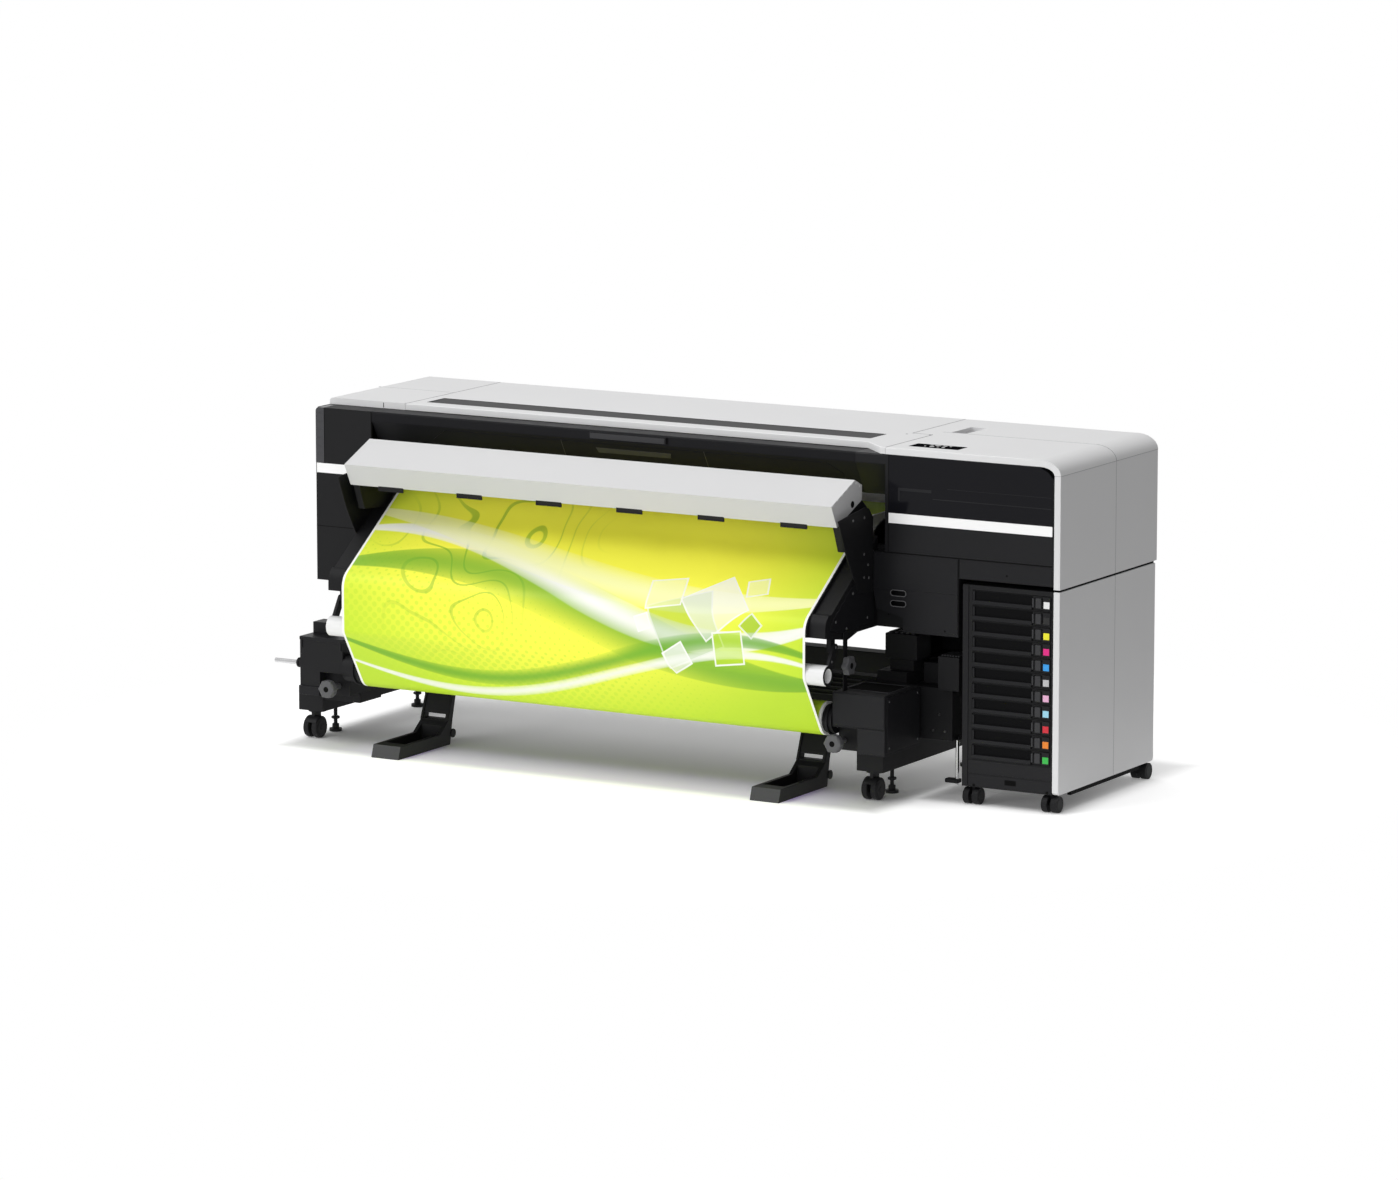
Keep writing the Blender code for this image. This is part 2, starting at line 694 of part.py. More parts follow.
def top_covers():
    """Left, centre and right covers, the dark window, the screen and the lifting grip."""
    left = [(0.0, SET_BACK), (LEFT_COVER_WIDTH - SEAT, SET_BACK),
            (LEFT_COVER_WIDTH - SEAT, BODY_DEPTH), (0.0, BODY_DEPTH)]
    part(shell("Z", left, BODY_TOP, LIP_Z, SKIN), "top_cover_left", WHITE, 0.4)
    right = RIGHT_COVER_X - SEAT
    inner = right - COVER_TONGUE
    centre = [
        (LEFT_COVER_WIDTH, SET_BACK), (POST_X, SET_BACK), (POST_X + POST_DIAGONAL, 0.0), (right, 0.0),
        (right, TONGUE_FROM), (inner, TONGUE_FROM), (inner, BODY_DEPTH), (LEFT_COVER_WIDTH, BODY_DEPTH),
    ]
    cover = part(shell("Z", centre, BODY_TOP, LIP_Z, SKIN), "top_cover_centre", WHITE, 0.4)
    start = MEDIA_LEFT + WINDOW_START
    end = MEDIA_RIGHT - WINDOW_END
    front = WINDOW_Y
    back = WINDOW_Y + WINDOW_DEPTH
    opening = box((start, end), (front, back), (UNDER_SKIN - EMBED, BODY_TOP + EMBED))
    change(cover, [opening], "DIFFERENCE")
    ledge = UNDER_SKIN - SEAT
    pane = [
        (front + SEAT, BODY_TOP - SEAT), (front + SEAT, ledge), (front - WINDOW_FLANGE, ledge),
        (front - WINDOW_FLANGE, ledge - SKIN), (back + WINDOW_FLANGE, ledge - SKIN),
        (back + WINDOW_FLANGE, ledge), (back - SEAT, ledge), (back - SEAT, BODY_TOP - SEAT),
    ]
    part(prism("X", pane, start + SEAT, end - SEAT), "top_window", BLACK, 0.1)
    right_cover()
    screen = RIGHT_COVER_X + SCREEN_OFFSET
    part(box((screen, screen + SCREEN_WIDTH), (SCREEN_Y, SCREEN_Y + SCREEN_DEPTH),
             (BODY_TOP - SCREEN_THICKNESS, BODY_TOP)), "touch_panel", BLACK, 0.15)


def corner_arc(run, drop):
    """The rounded shoulder of the right end, from the top to the side."""
    steps = [pi / 2 * (1 - i / ARC_STEPS) for i in range(ARC_STEPS + 1)]
    return [(BODY_WIDTH - CORNER_RUN + run * cos(a), SIDE_SEAM_Z + drop * sin(a)) for a in steps]


def right_cover():
    """The cover that wraps over the right end, with a tongue behind the centre cover."""
    outer = corner_arc(CORNER_RUN, CORNER_DROP)
    inner = corner_arc(CORNER_RUN - SHELL_EDGE, CORNER_DROP - LIP_HEIGHT)
    profile = [(RIGHT_COVER_X, LIP_Z), (RIGHT_COVER_X, BODY_TOP)] + outer + inner[::-1]
    cover = part(prism("Y", profile, 0.0, BODY_DEPTH), "top_cover_right", WHITE, 0.4)
    tongue = RIGHT_COVER_X - COVER_TONGUE
    tail = box((tongue, RIGHT_COVER_X + EMBED), (TONGUE_FROM + SEAT, BODY_DEPTH), (LIP_Z, BODY_TOP))
    change(cover, [tail], "UNION")
    below = SIDE_SEAM_Z - EMBED
    hollow = [(RIGHT_COVER_X + SKIN, below), (RIGHT_COVER_X + SKIN, UNDER_SKIN)]
    hollow += corner_arc(CORNER_RUN - SKIN, CORNER_DROP - SKIN) + [(BODY_WIDTH - SKIN, below)]
    screen = RIGHT_COVER_X + SCREEN_OFFSET
    change(cover, [
        prism("Y", hollow, SKIN, BODY_DEPTH - SKIN),
        box((tongue + SKIN, RIGHT_COVER_X + SKIN + EMBED),
            (TONGUE_FROM + SEAT + SKIN, BODY_DEPTH - SKIN), (LIP_Z - EMBED, UNDER_SKIN)),
        box((screen - SEAT, screen + SCREEN_WIDTH + SEAT),
            (SCREEN_Y - SEAT, SCREEN_Y + SCREEN_DEPTH + SEAT),
            (BODY_TOP - SCREEN_THICKNESS - SEAT, BODY_TOP + EMBED)),
    ], "DIFFERENCE")
    grip = RIGHT_COVER_X + GRIP_OFFSET
    bottom = BODY_TOP - GRIP_SINK
    cup = box((grip - SKIN, grip + GRIP_WIDTH + SKIN), (GRIP_Y - SKIN, GRIP_Y + GRIP_LENGTH + SKIN),
              (bottom - SKIN, UNDER_SKIN + EMBED / 2))
    hold = box((grip, grip + GRIP_WIDTH), (GRIP_Y, GRIP_Y + GRIP_LENGTH), (bottom, BODY_TOP + EMBED))
    change(cover, [cup], "UNION")
    change(cover, [hold], "DIFFERENCE")


def cover_profile():
    """Folded section of the smoked front cover: top strip, front band and leaning face."""
    return bent_sheet(rounded([
        (COVER_HINGE_Y, COVER_TOP, 0.0), (0.0, COVER_TOP, COVER_FOLD),
        (0.0, COVER_TOP - COVER_BAND, COVER_FOLD), (COVER_FOOT_Y, COVER_TOP - COVER_DROP, 0.0),
    ]), SKIN)


def front_cover():
    hinge = (0.0, COVER_HINGE_Y, COVER_TOP - SKIN / 2)
    cover = part(prism("X", cover_profile(), LEFT_MODULE_WIDTH + RUNNING_GAP, POST_X - RUNNING_GAP),
                 "front_cover", BLACK, 0.12, pivot=hinge)
    middle = (MEDIA_LEFT + MEDIA_RIGHT) / 2 + HANDLE_OFFSET
    grip_top = COVER_TOP - (COVER_BAND - HANDLE_HEIGHT) / 2
    change(cover, [box((middle - HANDLE_WIDTH / 2, middle + HANDLE_WIDTH / 2), (-HANDLE_REACH, EMBED),
                       (grip_top - HANDLE_HEIGHT, grip_top))], "UNION")


def left_end_cover():
    bottom = LEFT_BOTTOM
    plan = [(0.0, 0.0), (LEFT_MODULE_WIDTH, 0.0), (LEFT_MODULE_WIDTH, PLATE), (PLATE, PLATE),
            (PLATE, FRAME_BACK), (0.0, FRAME_BACK)]
    cover = part(prism("Z", plan, bottom, COVER_TOP), "left_end_cover", BLACK, 0.45)
    strip = box((PLATE - EMBED, LEFT_MODULE_WIDTH), (PLATE - EMBED, SET_BACK - SEAT),
                (COVER_TOP - SKIN, COVER_TOP))
    change(cover, [strip], "UNION")


def right_front_panel():
    """Black front of the right module, with the fixed post beside the smoked cover."""
    left = RIGHT_COVER_X
    wide = RIGHT_COVER_X - PANEL_STEP
    right = INNER_RIGHT_X - SEAT
    notch_x = RIGHT_MODULE_X + PANEL_NOTCH_WIDTH
    notch_z = PANEL_BOTTOM + PANEL_NOTCH_HEIGHT
    jog_z = PANEL_BOTTOM + PANEL_JOG_HEIGHT
    low_right = CABINET_LEFT - PANEL_CABINET_GAP
    small = SIDE_PANEL_BOTTOM + PANEL_SMALL_RISE
    outline = [
        (left, COVER_TOP), (left, PANEL_STEP_Z), (wide, PANEL_STEP_Z), (wide, jog_z),
        (wide + PANEL_JOG_WIDTH, jog_z - PANEL_JOG_DROP), (notch_x, notch_z), (notch_x, PANEL_BOTTOM),
        (low_right, PANEL_BOTTOM), (low_right, small), (right, small),
        (right, SIDE_SEAM_Z - PANEL_CORNER_INSET), (BODY_WIDTH - CORNER_RUN - EMBED, COVER_TOP),
    ]
    face = shell("Y", outline, 0.0, FRONT_BEAM_SETBACK - SEAT, SKIN)
    panel = part(face, "right_front_panel", BLACK, 0.25)
    change(panel, [prism("X", cover_profile(), POST_X, left + EMBED)], "UNION")
    slots = []
    for low in (SLOT_TOP, SLOT_LOW):
        start = RIGHT_MODULE_X + SLOT_OFFSET
        end = SLOT_HEIGHT / 2 - SEAT
        oval = rounded([
            (start, low, end), (start + SLOT_WIDTH, low, end),
            (start + SLOT_WIDTH, low + SLOT_HEIGHT, end), (start, low + SLOT_HEIGHT, end),
        ])
        slots.append(prism("Y", oval, -EMBED, SKIN + EMBED))
    change(panel, slots, "DIFFERENCE")


def side_and_rear():
    side = [(0.0, SIDE_PANEL_BOTTOM), (BODY_DEPTH, SIDE_PANEL_BOTTOM),
            (BODY_DEPTH, SIDE_SEAM_Z - SEAT), (0.0, SIDE_SEAM_Z - SEAT)]
    part(shell("X", side, BODY_WIDTH, INNER_RIGHT_X, SKIN), "right_side_panel", WHITE, 0.4)
    bottom = LEFT_BOTTOM
    inlet = PLATEN_TOP + REAR_INLET_GAP
    right = INNER_RIGHT_X - SEAT
    outline = [
        (0.0, COVER_TOP), (0.0, bottom), (LEFT_PLATE_INNER, bottom), (LEFT_PLATE_INNER, inlet),
        (RIGHT_PLATE_X, inlet), (RIGHT_PLATE_X, PAN_BOTTOM), (SHELF_START + SHELF_RISER, PAN_BOTTOM),
        (SHELF_START + SHELF_RISER, SHELF_BOTTOM), (right, SHELF_BOTTOM),
        (right, SIDE_SEAM_Z - PANEL_CORNER_INSET), (BODY_WIDTH - CORNER_RUN - EMBED, COVER_TOP),
    ]
    part(prism("Y", outline, FRAME_BACK + SEAT, BODY_DEPTH), "rear_cover", BLACK, 0.45)


def platen():
    """Bent plate that the web slides over, standing on the pan and the front beam."""
    face = PLATEN_TOP - WEB_REST
    front = FRONT_BEAM_SETBACK + EMBED
    section = rounded([
        (PLATEN_BACK, PAN_TOP + SEAT, 0.0), (PLATEN_BACK, face, PLATE + EMBED),
        (SHOULDER_Y + WEB_REST * tan(SLOPE_ANGLE / 2), face, SHOULDER_RADIUS - WEB_REST),
        (front, slope_z(front, WEB_REST), 0.0), (front, PLATEN_TOP - FRONT_BEAM_DROP + SEAT, 0.0),
    ])
    part(prism("X", bent_sheet(section, PLATE), LEFT_PLATE_INNER + SEAT, RIGHT_PLATE_X - SEAT),
         "platen", STEEL, 0.35, 0.8)


def feed_roller():
    centre = (FEED_ROLLER_Y, FEED_ROLLER_Z)
    part(rod("X", centre, LEFT_PLATE_INNER + SEAT, RIGHT_PLATE_X - SEAT, FEED_ROLLER_RADIUS),
         "feed_roller", GREY, 0.6, pivot=(0.0, *centre))


def cap_bottom(y):
    """Height of the lower edge of the heater's end caps."""
    run = (y - KNEE_Y) / KEEL_RUN
    return NOSE_BOTTOM - KEEL_DROP * run


def after_heater():
    """Bent heater plate under the slope, its end caps and the ears of the dancer bar."""
    nose_y = KNEE_Y + WEB_REST
    plate_back = HEATER_BACK - HEATER_SHEET
    knee_z = KNEE_Z - WEB_REST * cos(SLOPE_ANGLE) / (1 + sin(SLOPE_ANGLE))
    section = rounded([
        (plate_back, slope_z(plate_back, WEB_REST), 0.0), (nose_y, knee_z, KNEE_RADIUS - WEB_REST),
        (nose_y, cap_bottom(nose_y), 0.0), (KEEL_Y, KEEL_Z, 0.0),
    ])
    left = HEATER_LEFT + HEATER_CAP
    right = HEATER_RIGHT - HEATER_CAP
    heater = part(prism("X", bent_sheet(section, HEATER_SHEET), left - EMBED, right + EMBED),
                  "after_heater", BLACK, 0.5)
    cap_y = KNEE_Y + CAP_SET
    cap = rounded([
        (HEATER_BACK, slope_z(HEATER_BACK, CAP_DROP), 0.0),
        (cap_y, slope_z(cap_y, CAP_DROP), KNEE_RADIUS / 2),
        (cap_y, cap_bottom(cap_y), 0.0), (KEEL_Y, KEEL_Z, 0.0),
        (KEEL_Y + CAP_HEEL, PAN_BOTTOM, 0.0), (HEATER_BACK, PAN_BOTTOM, 0.0),
    ])
    added = [prism("X", cap, HEATER_LEFT, left), prism("X", cap, right, HEATER_RIGHT)]
    holes = []
    arm_space = ARM_GAUGE + SEAT
    bore = PIVOT_PIN_RADIUS + RUNNING_GAP
    for arm_face, inward in ((HEATER_LEFT + arm_space, 1), (HEATER_RIGHT - arm_space, -1)):
        ear = sorted((arm_face, arm_face + inward * PIVOT_EAR))
        added.append(box(ear, (PIVOT_Y - PIVOT_EAR, PIVOT_Y + PIVOT_EAR),
                         (PIVOT_Z - PIVOT_EAR, cap_bottom(PIVOT_Y - PIVOT_EAR) + EMBED)))
        holes.append(rod("X", (PIVOT_Y, PIVOT_Z), ear[0] - EMBED, ear[1] + EMBED, bore))
    change(heater, added, "UNION")
    change(heater, holes, "DIFFERENCE")


def dancer_bar():
    """Tension tube on two arms that swing on pins under the heater's end caps."""
    swing = atan2(DANCER_Y - PIVOT_Y, PIVOT_Z - DANCER_Z)
    half = ARM_WIDTH / 2
    across = (half * cos(swing), half * sin(swing))
    arm = [
        (PIVOT_Y - across[0], PIVOT_Z - across[1]), (DANCER_Y - across[0], DANCER_Z - across[1]),
        (DANCER_Y + across[0], DANCER_Z + across[1]), (PIVOT_Y + across[0], PIVOT_Z + across[1]),
    ]
    centre = (DANCER_Y, DANCER_Z)
    left = HEATER_LEFT + ARM_GAUGE
    right = HEATER_RIGHT - ARM_GAUGE
    bar = part(rod("X", centre, HEATER_LEFT, HEATER_RIGHT, DANCER_RADIUS), "dancer_bar", WHITE, 0.35,
               pivot=(0.0, PIVOT_Y, PIVOT_Z))
    added = []
    for low, high, pin_low, pin_high in (
            (HEATER_LEFT, left, HEATER_LEFT + EMBED, left + PIVOT_EAR),
            (right, HEATER_RIGHT, right - PIVOT_EAR, HEATER_RIGHT - EMBED)):
        added.append(prism("X", arm, low, high))
        added.append(rod("X", (PIVOT_Y, PIVOT_Z), low, high, half))
        added.append(rod("X", (PIVOT_Y, PIVOT_Z), pin_low, pin_high, PIVOT_PIN_RADIUS))
    change(bar, added, "UNION")
    change(bar, [rod("X", centre, HEATER_LEFT - EMBED, HEATER_RIGHT + EMBED, DANCER_BORE)], "DIFFERENCE")


def hood_under(y):
    """Height of the hood's lower edge."""
    run = (y - HOOD_LIP_Y) / (HOOD_BACK_Y - HOOD_LIP_Y)
    return HOOD_BASE_Z + HOOD_UNDER_RISE * run


def dryer_hood():
    """Folded hood with closed ends, an open underside and tabs over the web."""
    outside = [
        (HOOD_BACK_Y, hood_under(HOOD_BACK_Y)), (HOOD_BACK_Y, HOOD_BASE_Z + HOOD_BACK_RISE),
        (HOOD_RIDGE_Y, HOOD_BASE_Z + HOOD_RIDGE_RISE), (HOOD_FRONT_Y, HOOD_BASE_Z + HOOD_FRONT_RISE),
        (HOOD_LIP_Y, HOOD_BASE_Z),
    ]
    hood = part(prism("X", outside, HOOD_LEFT, HOOD_RIGHT), "dryer_hood", WHITE, 0.45)
    inside = sideways(outside, HOOD_SHEET)
    below = HOOD_BASE_Z - HOOD_UNDER_RISE
    inside = [(inside[0][0], below)] + inside[1:] + [(inside[-1][0], below)]
    change(hood, [prism("X", inside, HOOD_LEFT + SKIN, HOOD_RIGHT - SKIN)], "DIFFERENCE")
    added = []
    first = (HOOD_LEFT + HOOD_RIGHT - (TAB_COUNT - 1) * TAB_PITCH - TAB_WIDTH) / 2
    for count in range(TAB_COUNT):
        start = first + count * TAB_PITCH
        added.append(box((start, start + TAB_WIDTH), (HOOD_LIP_Y - HOOD_SHEET / 2, HOOD_LIP_Y + HOOD_SHEET),
                         (HOOD_BASE_Z - TAB_DROP, HOOD_BASE_Z + 2 * HOOD_SHEET)))
    change(hood, added, "UNION")
    hole = (HOOD_HOLE_Y, HOOD_BASE_Z + HOOD_HOLE_RISE)
    change(hood, [rod("X", hole, HOOD_LEFT - EMBED, HOOD_RIGHT + EMBED, HOOD_HOLE_RADIUS)], "DIFFERENCE")


def hood_arms():
    """Side plates that carry the hood on the heater's end caps."""
    front = HOOD_LIP_Y + HOOD_ARM_GAUGE / 2
    heel = HOOD_ARM_BACK - ARM_HEEL_RUN
    seat = CAP_DROP - SEAT
    outline = [
        (front, hood_under(front) - SEAT), (HOOD_LIP_Y + ARM_TOE_RUN, HOOD_BASE_Z - ARM_TOE_DROP),
        (heel, slope_z(heel, seat)), (HOOD_ARM_BACK, slope_z(HOOD_ARM_BACK, seat)),
        (HOOD_ARM_BACK, HOOD_BASE_Z + HOOD_ARM_GAUGE), (HOOD_BACK_Y, hood_under(HOOD_BACK_Y) - SEAT),
    ]
    part(prism("X", outline, HOOD_LEFT + SEAT, HOOD_LEFT + HOOD_ARM_GAUGE), "hood_arm_left", BLACK, 0.5)
    part(prism("X", outline, HOOD_RIGHT - HOOD_ARM_GAUGE, HOOD_RIGHT - SEAT), "hood_arm_right", BLACK, 0.5)


def carriage_and_rail():
    """Print carriage that hangs round its rail, parked at the right end."""
    part(box((LEFT_PLATE_INNER + SEAT, BULKHEAD_X - SEAT), (RAIL_Y, RAIL_Y + RAIL_DEPTH),
             (RAIL_Z, RAIL_Z + RAIL_HEIGHT)), "carriage_rail", STEEL, 0.3, 0.9)
    right = BULKHEAD_X - CARRIAGE_PARK
    body = part(box((right - CARRIAGE_WIDTH, right), (CARRIAGE_FRONT, CARRIAGE_BACK),
                    (CARRIAGE_BOTTOM, CARRIAGE_BOTTOM + CARRIAGE_HEIGHT)), "carriage", BLACK, 0.4)
    bore = box((right - CARRIAGE_WIDTH - EMBED, right + EMBED),
               (RAIL_Y - RUNNING_GAP, RAIL_Y + RAIL_DEPTH + RUNNING_GAP),
               (RAIL_Z - RUNNING_GAP, RAIL_Z + RAIL_HEIGHT + RUNNING_GAP))
    change(body, [bore], "DIFFERENCE")


def spread(centre, width):
    """Low and high ends of a width about its middle."""
    return (centre - width / 2, centre + width / 2)


def stand():
    """Two legs with their columns, and the beam between them."""
    deep = (COLUMN_FRONT, COLUMN_BACK)
    rise = (LEG_TOP - EMBED, PAN_BOTTOM - SEAT)
    for name, centre in (("left_leg", LEG_CENTRE_LEFT), ("right_leg", LEG_CENTRE_RIGHT)):
        foot = box(spread(centre, LEG_WIDTH), (LEG_FRONT, LEG_BACK), (LEG_BOTTOM, LEG_TOP))
        leg = part(foot, name, BLACK, 0.5)
        added = [box(spread(centre, COLUMN_WIDTH), deep, rise)]
        if name == "left_leg":
            added.append(box((centre + LEG_WIDTH / 2 - EMBED, LEFT_BLOCK_RIGHT),
                             (LEG_FRONT + EMBED, BLOCK_BACK), (LEG_TOP - SHOE_HEIGHT, LEG_TOP)))
        else:
            added.append(box(spread(centre, TOWER_WIDTH), (TOWER_FRONT, TOWER_BACK),
                             (LEG_TOP - EMBED, TOWER_TOP)))
        change(leg, added, "UNION")
    part(box((LEG_CENTRE_LEFT + COLUMN_WIDTH / 2 + SEAT, LEG_CENTRE_RIGHT - COLUMN_WIDTH / 2 - SEAT),
             (BEAM_Y, BEAM_Y + BEAM_DEPTH), (BEAM_Z, BEAM_Z + BEAM_HEIGHT)), "rear_beam", BLACK, 0.5)


def wheel_pair(x, y, radius, width, slot, axle):
    """Two wheels on one axle along X."""
    half = width / 2
    inner = slot / 2
    return turned("X", (y, radius), [
        (0.0, x + half), (radius, x + half), (radius, x + inner), (axle, x + inner),
        (axle, x - inner), (radius, x - inner), (radius, x - half), (0.0, x - half),
    ])


def casters():
    """Swivelling forks with their wheel pairs under the legs."""
    ends = (("front", FRONT_CASTER_Y, -1), ("rear", REAR_CASTER_Y, 1))
    top = LEG_BOTTOM - SEAT
    for side, x in (("left", LEG_CENTRE_LEFT), ("right", LEG_CENTRE_RIGHT)):
        for end, y, outward in ends:
            place = f"{end}_{side}"
            axle_y = y + outward * CASTER_TRAIL
            plate = rod("Z", (x, y), top - PLATE_HEIGHT, top, PLATE_RADIUS)
            fork = part(plate, "caster_fork_" + place, BLACK, 0.5, pivot=(x, y, top))
            reach = sorted((axle_y + outward * FORK_REACH, y - outward * FORK_REACH))
            web = box(spread(x, CASTER_SLOT - 2 * RUNNING_GAP), reach,
                      (WHEEL_RADIUS - FORK_REACH, top - PLATE_HEIGHT / 2))
            bore = rod("X", (axle_y, WHEEL_RADIUS), x - CASTER_SLOT, x + CASTER_SLOT,
                       AXLE_RADIUS + RUNNING_GAP)
            change(fork, [web], "UNION")
            change(fork, [bore], "DIFFERENCE")
            wheels = wheel_pair(x, axle_y, WHEEL_RADIUS, CASTER_WIDTH, CASTER_SLOT, AXLE_RADIUS)
            part(wheels, "caster_wheels_" + place, BLACK, 0.7, pivot=(x, axle_y, WHEEL_RADIUS))


def levelling_feet():
    """Screw feet beside the casters."""
    top = LEG_BOTTOM - SEAT
    nut = FOOT_PAD_HEIGHT + FOOT_NUT_HEIGHT
    for side, x in (("left", LEG_CENTRE_LEFT), ("right", LEG_CENTRE_RIGHT)):
        for end, y in (("front", FRONT_FOOT_Y), ("rear", REAR_FOOT_Y)):
            part(turned("Z", (x, y), [
                (0.0, top), (FOOT_STEM_RADIUS, top), (FOOT_STEM_RADIUS, nut), (FOOT_NUT_RADIUS, nut),
                (FOOT_NUT_RADIUS, FOOT_PAD_HEIGHT), (FOOT_PAD_RADIUS, FOOT_PAD_HEIGHT),
                (FOOT_PAD_RADIUS, 0.0), (0.0, 0.0),
            ]), f"levelling_foot_{end}_{side}", BLACK, 0.6, pivot=(x, y, 0.0))


def take_up_unit():
    """Two blocks with their stubs, the roll between them and the clamping knobs."""
    deep = (BLOCK_FRONT, BLOCK_BACK)
    rise = (BLOCK_BOTTOM, BLOCK_BOTTOM + BLOCK_HEIGHT)
    axis = (TAKE_UP_Y, TAKE_UP_Z)
    notch_y = (BLOCK_FRONT - EMBED, BLOCK_FRONT + BLOCK_NOTCH_DEPTH)
    notch_z = (BLOCK_BOTTOM - EMBED, BLOCK_BOTTOM + BLOCK_NOTCH_HEIGHT)
    right_end = RIGHT_BLOCK_X + RIGHT_BLOCK_WIDTH
    left = part(box((LEFT_BLOCK_X, LEFT_BLOCK_RIGHT), deep, rise), "take_up_block_left", BLACK, 0.5)
    change(left, [
        rod("X", axis, LEFT_BLOCK_RIGHT - EMBED, LEFT_BLOCK_RIGHT + STUB_LENGTH, STUB_RADIUS),
        rod("X", axis, LEFT_BLOCK_X - COLLAR_LENGTH, LEFT_BLOCK_X + EMBED, COLLAR_RADIUS),
        rod("X", axis, SHAFT_TIP_X, LEFT_BLOCK_X - COLLAR_LENGTH + EMBED, SHAFT_RADIUS),
    ], "UNION")
    change(left, [box((LEFT_BLOCK_RIGHT - BLOCK_NOTCH_WIDTH, LEFT_BLOCK_RIGHT + EMBED), notch_y, notch_z)],
           "DIFFERENCE")
    right = part(box((RIGHT_BLOCK_X, right_end), deep, rise), "take_up_block_right", BLACK, 0.5)
    stub = rod("X", axis, RIGHT_BLOCK_X - STUB_LENGTH, RIGHT_BLOCK_X + EMBED, STUB_RADIUS)
    notch = box((RIGHT_BLOCK_X - EMBED, RIGHT_BLOCK_X + BLOCK_NOTCH_WIDTH), notch_y, notch_z)
    change(right, [stub], "UNION")
    change(right, [notch], "DIFFERENCE")
    low = LEFT_BLOCK_RIGHT + SEAT
    high = RIGHT_BLOCK_X - SEAT
    part(turned("X", axis, [
        (HUB_RADIUS, high), (HUB_RADIUS, MEDIA_RIGHT), (TAKE_UP_RADIUS, MEDIA_RIGHT),
        (TAKE_UP_RADIUS, MEDIA_LEFT), (HUB_RADIUS, MEDIA_LEFT), (HUB_RADIUS, low),
        (CORE_BORE, low), (CORE_BORE, high),
    ], closed=True), "take_up_roll", WHITE, 0.45, pivot=(0.0, *axis))
    front = BLOCK_FRONT - KNOB_REACH
    back = BLOCK_FRONT + BLOCK_NOTCH_DEPTH - SEAT
    z = BLOCK_BOTTOM + KNOB_RISE
    places = {"knob_left": LEFT_BLOCK_RIGHT - LEFT_KNOB_INSET,
              "knob_right": RIGHT_BLOCK_X + RIGHT_KNOB_INSET}
    for name, x in places.items():
        part(turned("Y", (x, z), [
            (0.0, back), (KNOB_STEM, back), (KNOB_STEM, front + KNOB_DEPTH),
            (KNOB_RADIUS, front + KNOB_DEPTH), (KNOB_RADIUS, front + KNOB_EDGE),
            (KNOB_RADIUS - KNOB_EDGE, front), (0.0, front),
        ]), name, GREY, 0.45, pivot=(x, front, z))


def supply_roll():
    axis = (SUPPLY_Y, SUPPLY_Z)
    part(turned("X", axis, [
        (SUPPLY_RADIUS, MEDIA_RIGHT), (SUPPLY_RADIUS, MEDIA_LEFT),
        (CORE_BORE, MEDIA_LEFT), (CORE_BORE, MEDIA_RIGHT),
    ], closed=True), "supply_roll", WHITE, 0.4, pivot=(0.0, *axis))


def ink_cabinet():
    """Carcass with one slot for each ink tray and a duct for the ink tubes."""
    cabinet = part(box((CABINET_LEFT, BODY_WIDTH), (0.0, CABINET_BACK), (CABINET_BOTTOM, CABINET_TOP)),
                   "ink_cabinet", BLACK, 0.5)
    duct = CABINET_LEFT + DUCT_INSET
    change(cabinet, [box((duct, duct + DUCT_WIDTH), (DUCT_Y, DUCT_Y + DUCT_WIDTH),
                         (CABINET_TOP - EMBED, SHELF_BOTTOM - SEAT))], "UNION")
    left = CABINET_LEFT + TRAY_INSET
    right = left + TRAY_WIDTH
    tops = [CABINET_TOP - TRAY_DROP - count * TRAY_PITCH for count in range(TRAY_COUNT)]
    change(cabinet, [
        box((left - TRAY_FLOAT, right + TRAY_FLOAT), (-EMBED, TRAY_FRONT + TRAY_LENGTH + TRAY_FLOAT),
            (top - TRAY_HEIGHT - SEAT, top + TRAY_FLOAT))
        for top in tops
    ], "DIFFERENCE")
    shared = tray_mesh(left, right)
    for count, top in enumerate(tops):
        tray = as_object(shared, f"ink_tray_{count + 1:02d}", "sign_printer")
        tray.location = (0.0, TRAY_FRONT, top - TRAY_HEIGHT)


def tray_mesh(left, right):
    """A drawer with a pull lip in front and a pocket over its ink pack."""
    tray = part(box((left, right), (0.0, TRAY_LENGTH), (0.0, TRAY_HEIGHT)), "tray_pattern", BLACK, 0.4)
    lip_right = right - GRIP_LIP_INSET
    lip = box((lip_right - GRIP_LIP_WIDTH, lip_right), (-GRIP_LIP_REACH, EMBED),
              spread(TRAY_HEIGHT / 2, GRIP_LIP_HEIGHT))
    pocket = box((left + TRAY_WALL, right - TRAY_WALL), (2 * TRAY_WALL, TRAY_LENGTH - TRAY_WALL),
                 (TRAY_HEIGHT - TRAY_POCKET, TRAY_HEIGHT + EMBED))
    change(tray, [lip], "UNION")
    change(tray, [pocket], "DIFFERENCE")
    made = settled(tray)
    bpy.data.objects.remove(tray)
    return made


